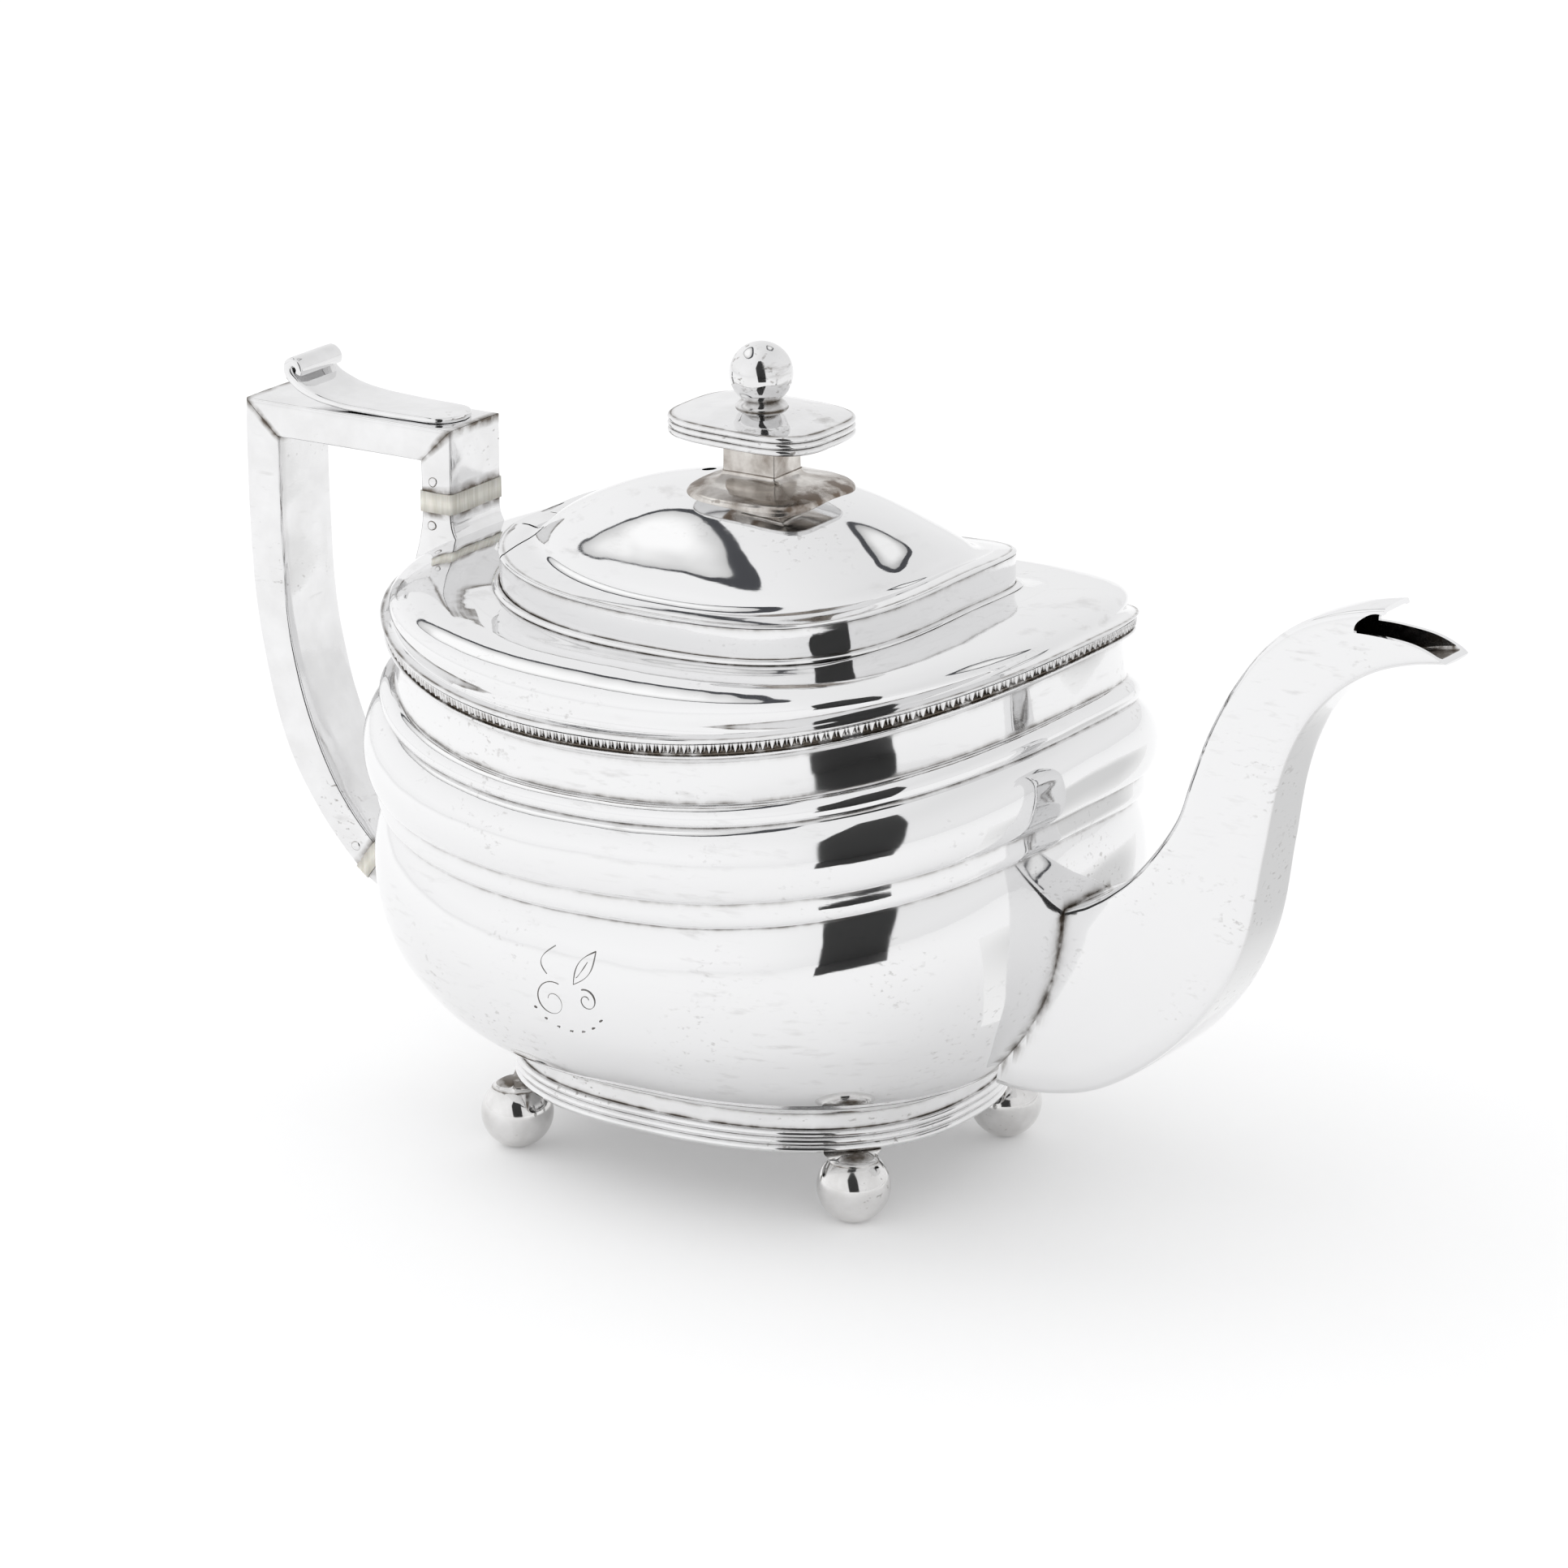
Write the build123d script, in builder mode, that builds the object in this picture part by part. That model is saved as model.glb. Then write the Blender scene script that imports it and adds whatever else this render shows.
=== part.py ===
"""Oval silver teapot on four ball feet, with a square-section swan-neck spout, a flat box-section
handle with two bone insulators, and a domed lid on a flush hinge. Millimetres, +Z up. The spout
points along +X, the handle along -X, and the feet stand on Z = 0."""

import os
from math import cos, hypot, pi, sin

from build123d import *

os.makedirs("parts", exist_ok=True)

# ---------------------------------------------------------------- driving dimensions
SPOUT_REACH = 148.7  # body axis to the tip of the spout's lip
HANDLE_REACH = 113.4  # body axis to the back of the grip
BODY_X = (HANDLE_REACH - SPOUT_REACH) / 2  # the body axis, so that the whole pot centres on X = 0

SILVER = 1.0  # thickness of the raised silver
SEAM = 0.05  # gap left between curved pieces that are soldered together
RUN = 0.3  # gap round the lid's moving edges
STATIONS = 18  # planes in half a turn that carry each ring's section

FOOT_Z = 13.3  # underside of the foot collar
FOOT_A = 47.5  # its half length
SHELL_Z = 22.4  # where the belly meets the collar
SHELL_A = 48.4
WAIST_Z = 67.3  # the groove above the lower belly
RIM_Z = 99.8  # underside of the lobed border
RIM_A = 72.9
MOUTH_Z = 110.8  # foot of the gallery
GALLERY_A = 46.8
FLANGE_Z = 117.4  # top of the lid's flange, halfway between its ends and its sides
FLANGE_A = 46.7
FLANGE_T = 1.2

# The plan is a superellipse whose half length exceeds its half width by `gap`, with power `n`. Its
# ends rise and its sides fall by half of `sheer`, and the spout end rises by `tilt` as the handle
# end falls. These are its height, gap, power, sheer and tilt at the heights that set it.
PLAN = (
    (FOOT_Z, 8.5, 2.37, 0.0, 0.0),
    (SHELL_Z, 8.9, 2.4, 0.0, 0.0),
    (WAIST_Z, 13.6, 2.6, 11.2, 1.5),
    (RIM_Z, 14.7, 2.28, 12.2, 2.2),
    (MOUTH_Z, 9.75, 3.2, 5.7, 0.0),
    (FLANGE_Z, 9.75, 3.2, 5.7, 0.0),
)

BALL_R = 7.0
BALL_X, BALL_Y, BALL_Z = 38.3, 27.15, 6.85
BRACKET_R = 5.6  # the brackets lie inside this radius round each ball's centre

HINGE_X, HINGE_Z = -42.4, 118.75  # lid hinge axis, along Y
KNUCKLE_R = 2.1
KNUCKLE_FLAT = 1.25  # the barrels are filed flat this far above the axis
PIN_R = 0.8
TONGUE = 14.0  # half width of the lid's tongue between the fixed leaves
CENTRE = 4.6  # half width of the fixed centre knuckle
LEAF_X = -39.0  # front edge of the fixed leaves beside the tongue

HANDLE_W = 8.3  # half width of the handle, spout and handle lying in the plane Y = 0
HANDLE_WALL = 1.1
RAIL_TOP, RAIL_UNDER = 133.7, 126.8
LEG_OUT, LEG_IN = -64.5, -71.6  # front leg, towards the lid and towards the grip
GRIP_IN = -105.4
BREAK_TOP, BREAK_UNDER = 121.1, 117.0  # upper insulator
BREAK_PROUD = 0.25
TENON = 4.2  # how far an insulator's tenon runs into its neighbours
RIVET_R = 1.1

VENT_X, VENT_R = -10.7, 1.6  # steam hole in the dome

STEM_X, STEM_Y = 5.6, 4.9  # half sizes of the finial's square stem
STEM_UNDER, PLATE_UNDER, PLATE_TOP = 133.8, 140.6, 144.8
PLATE_X, PLATE_Y = 15.6, 13.2
KNOB_R, KNOB_Z = 5.55, 153.0
BOLT_R = 1.25
BOLT_HOLE = 3.2
FINIAL_X = 1.3  # the finial stands this far forward of the body axis


# ---------------------------------------------------------------- plan and ring helpers
def plan_at(z):
    """The plan's gap, power, sheer and tilt at a height, straight between the heights in PLAN."""
    if z <= PLAN[0][0]:
        return PLAN[0][1:]
    for low, high in zip(PLAN, PLAN[1:]):
        if z <= high[0]:
            t = (z - low[0]) / (high[0] - low[0])
            return tuple(p + (q - p) * t for p, q in zip(low[1:], high[1:]))
    return PLAN[-1][1:]


def level(a, z, like=None):
    """One line round the pot: half length, half width, power, mid height, sheer and tilt."""
    gap, n, sheer, tilt = plan_at(z if like is None else like)
    return (a, a - gap, n, z, sheer, tilt)


def on_level(line, phi):
    """Radius and height of a line round the pot, at an angle about the body axis."""
    a, b, n, z, sheer, tilt = line
    r = (abs(cos(phi) / a) ** n + abs(sin(phi) / b) ** n) ** (-1 / n)
    along, across = r * cos(phi) / a, r * sin(phi) / b
    return r, z + sheer / 2 * (along**2 - across**2) + tilt * along


def grown(lines, out, up=0.0):
    """The same lines, moved outwards and upwards."""
    return [(a + out, b + out, n, z + up, sheer, tilt) for a, b, n, z, sheer, tilt in lines]


def around_axis(r, z):
    """A small level circle, which closes a section near the body axis."""
    return (r, r, 2, z, 0, 0)


def ring(lines):
    """A ring round the body axis, whose section's corners run along the given lines."""
    sections = []
    for i in range(STATIONS + 1):
        phi = pi * i / STATIONS
        plane = Plane(origin=(BODY_X, 0, 0), x_dir=(cos(phi), sin(phi), 0), z_dir=(sin(phi), -cos(phi), 0))
        with BuildSketch(plane) as section:
            with BuildLine():
                Polyline(*[on_level(line, phi) for line in lines], close=True)
            make_face()
        sections.append(section.sketch)
    with BuildPart() as both_halves:
        loft(sections)
        mirror(about=Plane.XZ)
    return both_halves.part


def oval(plane, a, b, n):
    """A flat superellipse."""
    outline = []
    for i in range(48):
        phi = 2 * pi * i / 48
        r, _ = on_level((a, b, n, 0, 0, 0), phi)
        outline.append((r * cos(phi), r * sin(phi)))
    with BuildSketch(plane) as face:
        with BuildLine():
            Spline(*outline, periodic=True)
        make_face()
    return face.sketch


def side(y=0.0, forward=0.0):
    """A vertical plane along the pot, seen from -Y, with its origin on the body axis or forward of it."""
    return Plane(origin=(BODY_X + forward, y, 0), x_dir=(1, 0, 0), z_dir=(0, -1, 0))


def flat(z, forward=0.0):
    """A horizontal plane with its origin on the body axis, or forward of it."""
    return Plane(origin=(BODY_X + forward, 0, z))


def shell_of(outer, thickness):
    """The outer lines followed by the same lines set in by a thickness, in reverse."""
    return outer + grown(outer, -thickness)[::-1]


# ---------------------------------------------------------------- body
BELLY = ((SHELL_A, SHELL_Z), (51.0, 22.9), (54.6, 24.6), (59.6, 28.4), (65.2, 34.7), (69.2, 41.0),
         (71.6, 48.0), (72.6, 55.0), (72.4, 60.5), (71.6, 64.5), (70.6, WAIST_Z))
GIRDLES = ((72.2, 69.0), (72.4, 72.4), (73.8, 73.4), (74.9, 76.5), (75.2, 79.5), (74.6, 83.0), (73.0, 85.8),
           (71.8, 86.7), (72.7, 87.6), (72.8, 88.8), (71.8, 90.3), (70.4, 90.9), (70.2, 94.0), (70.2, 98.4),
           (RIM_A - 1.4, RIM_Z - 0.2))
body_lines = [level(a, z) for a, z in BELLY + GIRDLES]
core = ring(grown(body_lines, SEAM) + [around_axis(10, RIM_Z + 4), around_axis(10, SHELL_Z)])

SPOUT_HOLES = 5  # rows and columns of the strainer
with BuildPart() as body_shell:
    add(ring(shell_of(body_lines, SILVER)))
    strainer = Plane(origin=(BODY_X + 66, 0, 45), x_dir=(0, 1, 0), z_dir=(1, 0, 0))
    with BuildSketch(strainer):
        with GridLocations(2.6, 3.4, SPOUT_HOLES, SPOUT_HOLES):
            Circle(0.8)
    extrude(amount=15, mode=Mode.SUBTRACT)
body_shell.part.label = "body_shell"

with BuildPart() as base_plate:
    extrude(oval(flat(SHELL_Z), SHELL_A - SILVER - SEAM, SHELL_A - SILVER - SEAM - 8.9, 2.4), amount=SILVER)
base_plate.part.label = "base_plate"

# The collar, from its lower edge: three reeds, a plain band, a small step and a fillet to the belly.
REED = 1.5
collar_lines = [level(FOOT_A - 0.6, FOOT_Z)]
for reed in range(3):
    foot = FOOT_Z + REED * reed
    collar_lines += [level(FOOT_A + 0.2, foot + 0.4), level(FOOT_A + 0.2, foot + 1.1)]
    collar_lines.append(level(FOOT_A - 0.6, foot + REED))
collar_lines += [level(FOOT_A - 0.4, 21.0), level(FOOT_A + 0.3, 21.2), level(SHELL_A, SHELL_Z - SEAM)]
with BuildPart() as foot_collar:
    add(ring(collar_lines + [level(SHELL_A - 2, SHELL_Z - SEAM), level(FOOT_A - 2, FOOT_Z)]))
foot_collar.part.label = "foot_collar"

FEET = [(BODY_X + sx * BALL_X, sy * BALL_Y) for sx in (-1, 1) for sy in (-1, 1)]
with BuildPart() as ball_feet:
    with Locations(*[(x, y, BALL_Z) for x, y in FEET]):
        Sphere(BALL_R)
    split(bisect_by=Plane.XY, keep=Keep.TOP)
    split(bisect_by=Plane.XY.offset(FOOT_Z - 0.4), keep=Keep.BOTTOM)
ball_feet.part.label = "ball_feet"

with BuildPart() as bracket_band:
    add(ring([level(FOOT_A - 0.2, FOOT_Z - SEAM), level(FOOT_A - 4.5, FOOT_Z - SEAM),
              level(FOOT_A - 4.5, FOOT_Z - 3.5), level(FOOT_A + 0.8, FOOT_Z - 3.5)]))
with BuildPart() as foot_brackets:
    with BuildSketch(Plane.XY.offset(FOOT_Z - 4)):
        with Locations(*FEET):
            Circle(BRACKET_R)
    extrude(amount=4)
    add(bracket_band.part, mode=Mode.INTERSECT)
    with Locations(*[(x, y, BALL_Z) for x, y in FEET]):
        Sphere(BALL_R + SEAM, mode=Mode.SUBTRACT)
foot_brackets.part.label = "foot_brackets"

# ---------------------------------------------------------------- border, shoulder and gallery
with BuildPart() as gadroon_border:
    add(ring([level(RIM_A - 0.3, RIM_Z), level(RIM_A, RIM_Z + 0.7),
              level(RIM_A, RIM_Z + 1.3), level(RIM_A - 0.5, RIM_Z + 1.9), level(RIM_A - 3.0, RIM_Z + 1.9),
              level(RIM_A - 3.0, RIM_Z)]))
gadroon_border.part.label = "gadroon_border"

SHOULDER = ((RIM_A - 0.1, RIM_Z + 2.0), (RIM_A - 0.1, RIM_Z + 2.7), (RIM_A - 1.0, RIM_Z + 3.6),
            (RIM_A - 2.6, RIM_Z + 4.1), (69.2, 104.6), (68.0, 106.0), (66.0, 108.0), (63.4, 109.5),
            (60.0, 110.5), (57.0, 110.7), (54.0, 110.5), (51.0, 110.5), (GALLERY_A + 1.6, MOUTH_Z))
shoulder_outer = [level(a, z) for a, z in SHOULDER]
shoulder_inner = [level(RIM_A - 2.9, RIM_Z + 2.0), level(67.2, 104.8), level(65.2, 106.8), level(62.6, 108.4),
                  level(59.6, 109.4), level(57.0, 109.6), level(51.0, 109.5), level(GALLERY_A - 1.2, 109.6)]
with BuildPart() as shoulder_cover:
    add(ring(shoulder_outer + [level(GALLERY_A - 1.2, MOUTH_Z)] + shoulder_inner[::-1]))
shoulder_cover.part.label = "shoulder_cover"

gallery_wall = [level(GALLERY_A, MOUTH_Z + 2 * SEAM), level(GALLERY_A, FLANGE_Z - FLANGE_T - 2 * SEAM)]
with BuildPart() as gallery:
    add(ring(shell_of(gallery_wall, SILVER)))
gallery.part.label = "gallery"

with BuildPart() as gallery_bead:
    add(ring([level(GALLERY_A + 2 * SEAM, MOUTH_Z + SEAM), level(GALLERY_A + 1.4, MOUTH_Z + SEAM),
              level(GALLERY_A + 1.5, MOUTH_Z + 0.7), level(GALLERY_A + 0.9, MOUTH_Z + 1.3),
              level(GALLERY_A + 2 * SEAM, MOUTH_Z + 1.4)]))
gallery_bead.part.label = "gallery_bead"

# ---------------------------------------------------------------- lid
# The ogee inside the flange, and the dome up to a hole that clears the finial's bolt.
DOME = [(40.5, 30.2, 2.7, 118.2, 4.6, 0), (38.0, 28.2, 2.5, 119.4, 3.4, 0), (35.4, 26.2, 2.4, 121.6, 2.4, 0),
        (31.5, 23.4, 2.3, 124.6, 1.6, 0), (26.0, 19.4, 2.2, 127.8, 0.8, 0), (18.5, 14.0, 2.1, 130.3, 0.2, 0),
        (10.0, 7.6, 2.0, 131.6, 0, 0), around_axis(BOLT_HOLE, 132.0)]
flange_edge = [level(FLANGE_A, FLANGE_Z - FLANGE_T), level(FLANGE_A, FLANGE_Z)]
lid_blank = ring(flange_edge + DOME + grown(DOME, 0, -FLANGE_T)[::-1])


def hinge_block(front, back, half_width):
    """A tall block over the hinge, used to cut the flange, between two X positions."""
    with BuildPart() as block:
        with BuildSketch(flat(HINGE_Z - 6)):
            with Locations(((front + back) / 2, 0)):
                Rectangle(front - back, 2 * half_width)
        extrude(amount=12)
    return block.part


REAR = -60  # well behind the flange
tongue_gap = KNUCKLE_R + RUN
with BuildPart() as lid_tongue:
    add(lid_blank)
    add(hinge_block(LEAF_X + RUN, HINGE_X + tongue_gap, TONGUE - RUN / 2), mode=Mode.INTERSECT)

with BuildPart() as lid_cover:
    add(lid_blank)
    add(hinge_block(LEAF_X + RUN, REAR, 60), mode=Mode.SUBTRACT)
    add(lid_tongue.part)
    with BuildSketch(flat(FLANGE_Z + 12)):
        with Locations((VENT_X, 0)):
            Circle(VENT_R)
    extrude(amount=12, both=True, mode=Mode.SUBTRACT)
lid_cover.part.label = "lid_cover"

with BuildPart() as hinge_plate:
    add(lid_blank)
    add(hinge_block(LEAF_X, REAR, 60), mode=Mode.INTERSECT)
    add(hinge_block(LEAF_X + 1, HINGE_X - tongue_gap, TONGUE + RUN / 2), mode=Mode.SUBTRACT)
hinge_plate.part.label = "hinge_plate"


def knuckle(y_low, y_high, web_front, web_back, bore):
    """A bored barrel on the hinge axis, with a web that reaches its own leaf."""
    with BuildPart() as barrel:
        with BuildSketch(side(y_high)):
            with Locations((HINGE_X, HINGE_Z)):
                Circle(KNUCKLE_R)
            with Locations(((web_front + web_back) / 2, HINGE_Z + 0.15)):
                Rectangle(web_front - web_back, 1.0)
            with Locations((HINGE_X, HINGE_Z)):
                Circle(bore, mode=Mode.SUBTRACT)
        extrude(amount=y_high - y_low)
    with BuildPart() as flush:
        add(barrel.part)
        split(bisect_by=Plane.XY.offset(HINGE_Z + KNUCKLE_FLAT), keep=Keep.BOTTOM)
    return flush.part


with BuildPart() as lid_knuckles:
    for low, high in ((CENTRE + RUN, TONGUE - RUN / 2), (-TONGUE + RUN / 2, -CENTRE - RUN)):
        add(knuckle(low, high, HINGE_X + tongue_gap - SEAM, HINGE_X, PIN_R + 0.05))
lid_knuckles.part.label = "lid_knuckles"

with BuildPart() as hinge_centre_knuckle:
    add(knuckle(-CENTRE, CENTRE, HINGE_X, HINGE_X - tongue_gap + SEAM, PIN_R + 0.02))
hinge_centre_knuckle.part.label = "hinge_centre_knuckle"

with BuildPart() as hinge_pin:
    with BuildSketch(side(TONGUE - RUN)):
        with Locations((HINGE_X, HINGE_Z)):
            Circle(PIN_R)
    extrude(amount=2 * (TONGUE - RUN))
hinge_pin.part.label = "hinge_pin"

BEZEL_A = GALLERY_A - SILVER - 0.7
bezel_top = FLANGE_Z - FLANGE_T - SEAM
with BuildPart() as lid_bezel:
    add(ring(shell_of([level(BEZEL_A, bezel_top - 3.0), level(BEZEL_A, bezel_top)], SILVER)))
    add(hinge_block(LEAF_X + 3, REAR, 60), mode=Mode.SUBTRACT)
lid_bezel.part.label = "lid_bezel"

# ---------------------------------------------------------------- finial
dome_core = ring(grown(DOME, SEAM, SEAM)
                 + [around_axis(0.5, 132.1), around_axis(0.5, 117), around_axis(30, 116)])
FOOT_STEPS = ((129.0, 26.0, 20.0, 6.5), (131.9, 16.4, 13.6, 3.0), (STEM_UNDER, 11.8, 10.4, 0.6))
with BuildPart() as finial_foot:
    for z, length, width, corner in FOOT_STEPS:
        with BuildSketch(flat(z, FINIAL_X)):
            RectangleRounded(length, width, corner)
    loft(ruled=True)
    with BuildSketch(flat(125, FINIAL_X)):
        Circle(BOLT_R + SEAM)
    extrude(amount=12, mode=Mode.SUBTRACT)
    add(dome_core, mode=Mode.SUBTRACT)
    with BuildSketch(flat(125)):
        Circle(BOLT_HOLE)
    extrude(amount=7, mode=Mode.SUBTRACT)
finial_foot.part.label = "finial_foot"

with BuildPart() as finial_stem:
    with BuildSketch(flat(STEM_UNDER, FINIAL_X)):
        Rectangle(2 * STEM_X, 2 * STEM_Y)
        Rectangle(2 * (STEM_X - 1), 2 * (STEM_Y - 1), mode=Mode.SUBTRACT)
    extrude(amount=PLATE_UNDER - STEM_UNDER)
finial_stem.part.label = "finial_stem"

with BuildPart() as finial_plate:
    reed_t = (PLATE_TOP - PLATE_UNDER) / 3
    for reed in range(3):
        low = PLATE_UNDER + reed * reed_t
        widths = ((low, 0.5), (low + reed_t / 2, 0.0), (low + reed_t, 0.5))
        for (z1, in1), (z2, in2) in zip(widths, widths[1:]):
            first = oval(flat(z1, FINIAL_X), PLATE_X - in1, PLATE_Y - in1, 3.4)
            second = oval(flat(z2, FINIAL_X), PLATE_X - in2, PLATE_Y - in2, 3.4)
            loft([first, second], ruled=True)
    loft([oval(flat(PLATE_TOP, FINIAL_X), PLATE_X - 0.5, PLATE_Y - 0.5, 3.4),
          oval(flat(PLATE_TOP + 0.8, FINIAL_X), 9.5, 8.0, 2.8),
          oval(flat(PLATE_TOP + 1.4, FINIAL_X), 5.0, 4.4, 2.2)], ruled=True)
    with BuildSketch(flat(PLATE_UNDER - 1, FINIAL_X)):
        Circle(BOLT_R + SEAM)
    extrude(amount=10, mode=Mode.SUBTRACT)
finial_plate.part.label = "finial_plate"

collar_z = PLATE_TOP + 1.4
with BuildPart() as finial_ball:
    with BuildSketch(side(forward=FINIAL_X)):
        with BuildLine():
            Polyline((0, collar_z), (4.4, collar_z), (3.0, collar_z + 1.0), (2.9, collar_z + 1.4),
                     (3.4, collar_z + 1.6), (3.4, collar_z + 2.1), (2.8, collar_z + 2.3),
                     (2.8, collar_z + 3.2), (0, collar_z + 3.2), close=True)
        make_face()
        with BuildLine():
            Line((0, KNOB_Z - KNOB_R), (0, KNOB_Z + KNOB_R))
            ThreePointArc((0, KNOB_Z + KNOB_R), (KNOB_R, KNOB_Z), (0, KNOB_Z - KNOB_R))
        make_face()
    revolve(axis=Axis((BODY_X + FINIAL_X, 0, 0), (0, 0, 1)))
    with BuildSketch(flat(collar_z - 1, FINIAL_X)):
        Circle(BOLT_R + SEAM)
    extrude(amount=6, mode=Mode.SUBTRACT)
finial_ball.part.label = "finial_ball"

BOLT_END = 125.6
NUT_TOP = 129.4
with BuildPart() as finial_bolt:
    with BuildSketch(flat(BOLT_END, FINIAL_X)):
        Circle(BOLT_R)
    extrude(amount=collar_z + 4.5 - BOLT_END)
finial_bolt.part.label = "finial_bolt"

with BuildPart() as finial_washer:
    with BuildSketch(flat(NUT_TOP, FINIAL_X)):
        Circle(4.6)
        Circle(BOLT_R + SEAM, mode=Mode.SUBTRACT)
    extrude(amount=0.8)
finial_washer.part.label = "finial_washer"

with BuildPart() as finial_nut:
    with BuildSketch(flat(NUT_TOP - 2.4, FINIAL_X)):
        RegularPolygon(2.8, 4, major_radius=False)
        Circle(BOLT_R + SEAM, mode=Mode.SUBTRACT)
    extrude(amount=2.35)
finial_nut.part.label = "finial_nut"

# ---------------------------------------------------------------- spout
# Each row is one square section: its upper and lower points in the plane Y = 0, and its half width.
SPOUT = (
    ((66.0, 57.5), (58.0, 25.0), 8.8),
    ((75.2, 61.7), (75.5, 26.3), 8.5),
    ((84.4, 68.4), (91.8, 35.6), 8.1),
    ((90.5, 75.2), (103.0, 47.5), 7.6),
    ((95.2, 82.5), (109.6, 60.8), 7.2),
    ((98.2, 91.5), (113.3, 78.7), 6.9),
    ((101.5, 100.3), (115.6, 91.1), 6.6),
    ((106.3, 109.5), (118.5, 99.7), 6.2),
    ((112.5, 118.0), (122.7, 106.9), 5.8),
    ((119.5, 123.4), (127.7, 112.0), 5.4),
    ((127.5, 126.6), (133.0, 115.6), 5.1),
    ((136.5, 128.7), (139.0, 118.0), 4.9),
    ((150.0, 130.0), (150.0, 119.9), 4.8),
)


def spout_solid(inset):
    """The spout's sections set in by a wall thickness, and lofted."""
    sections = []
    for (ux, uz), (lx, lz), half_width in SPOUT:
        length = hypot(ux - lx, uz - lz)
        run = ((ux - lx) / length, 0, (uz - lz) / length)
        plane = Plane(origin=(BODY_X + (ux + lx) / 2, 0, (uz + lz) / 2), x_dir=run, z_dir=(run[2], 0, -run[0]))
        with BuildSketch(plane) as section:
            RectangleRounded(length - 2 * inset, 2 * (half_width - inset), 1.6 - inset)
        sections.append(section.sketch)
    with BuildPart() as tube:
        loft(sections)
    return tube.part


SPOUT_WALL = 1.1
with BuildPart() as mouth_cut:
    with BuildSketch(side(20)):
        with BuildLine():
            top = Line((136.4, 140.0), (136.4, 127.4))
            cusp = ThreePointArc(top @ 1, (132.2, 126.2), (130.6, 123.4))
            lip = Spline(cusp @ 1, (137.0, 123.3), (143.5, 122.4), (SPOUT_REACH, 120.1))
            Polyline(lip @ 1, (SPOUT_REACH, 110.0), (160.0, 110.0), (160.0, 140.0), top @ 0)
        make_face()
    extrude(amount=40)
with BuildPart() as spout_blank:
    add(spout_solid(0.0))
    add(spout_solid(SPOUT_WALL), mode=Mode.SUBTRACT)
    add(mouth_cut.part, mode=Mode.SUBTRACT)
    add(core, mode=Mode.SUBTRACT)
with BuildPart() as spout:
    add(spout_blank.part.solids().sort_by(Axis.X)[-1])
spout.part.label = "spout"

# ---------------------------------------------------------------- handle
def box_beam(outline, half_width):
    """A slab on the side plane with the given outline."""
    with BuildPart() as beam:
        with BuildSketch(side(half_width)):
            with BuildLine():
                Polyline(*outline, close=True)
            make_face()
        extrude(amount=2 * half_width)
    return beam.part


def rivet_hole(x, z, radius=RIVET_R):
    """A round bar across the handle, for a rivet or the hole that takes it."""
    with BuildPart() as bar:
        with BuildSketch(side(HANDLE_W + 0.35)):
            with Locations((x, z)):
                Circle(radius)
        extrude(amount=2 * HANDLE_W + 0.7)
    return bar.part


# The lower joint: its middle, its long way (from the outside of the grip inwards) and the way down it.
JOINT = Vector(-87.0, 45.0)
ALONG = Vector(0.609, 0.793)
DOWN = Vector(0.793, -0.609)
JOINT_HALF = 3.5
BREAK_T = 3.3
RIVETS = ((-68.7, 123.1), (-69.1, 114.4), (-89.2, 46.3), (-82.0, 41.5))


def at_joint(across, down):
    """A point given along the lower joint's two directions."""
    point = JOINT + ALONG * across + DOWN * down
    return (point.X, point.Y)


w = HANDLE_WALL
with BuildPart() as handle_top_rail:
    add(box_beam([(-HANDLE_REACH + 0.3, RAIL_TOP), (LEG_OUT, RAIL_TOP), (LEG_IN, RAIL_UNDER),
                  (GRIP_IN, RAIL_UNDER)], HANDLE_W))
    add(box_beam([(GRIP_IN - 4, RAIL_TOP - w), (LEG_IN + 4, RAIL_TOP - w), (LEG_IN, RAIL_UNDER + w),
                  (GRIP_IN, RAIL_UNDER + w)], HANDLE_W - w), mode=Mode.SUBTRACT)
handle_top_rail.part.label = "handle_top_rail"

with BuildPart() as handle_front_leg:
    add(box_beam([(LEG_OUT, RAIL_TOP - SEAM), (LEG_OUT, BREAK_TOP), (LEG_IN, BREAK_TOP),
                  (LEG_IN, RAIL_UNDER - SEAM)], HANDLE_W))
    add(box_beam([(LEG_OUT - w, RAIL_UNDER), (LEG_OUT - w, BREAK_TOP), (LEG_IN + w, BREAK_TOP),
                  (LEG_IN + w, RAIL_UNDER - w)], HANDLE_W - w), mode=Mode.SUBTRACT)
    add(rivet_hole(*RIVETS[0]), mode=Mode.SUBTRACT)
handle_front_leg.part.label = "handle_front_leg"

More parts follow.
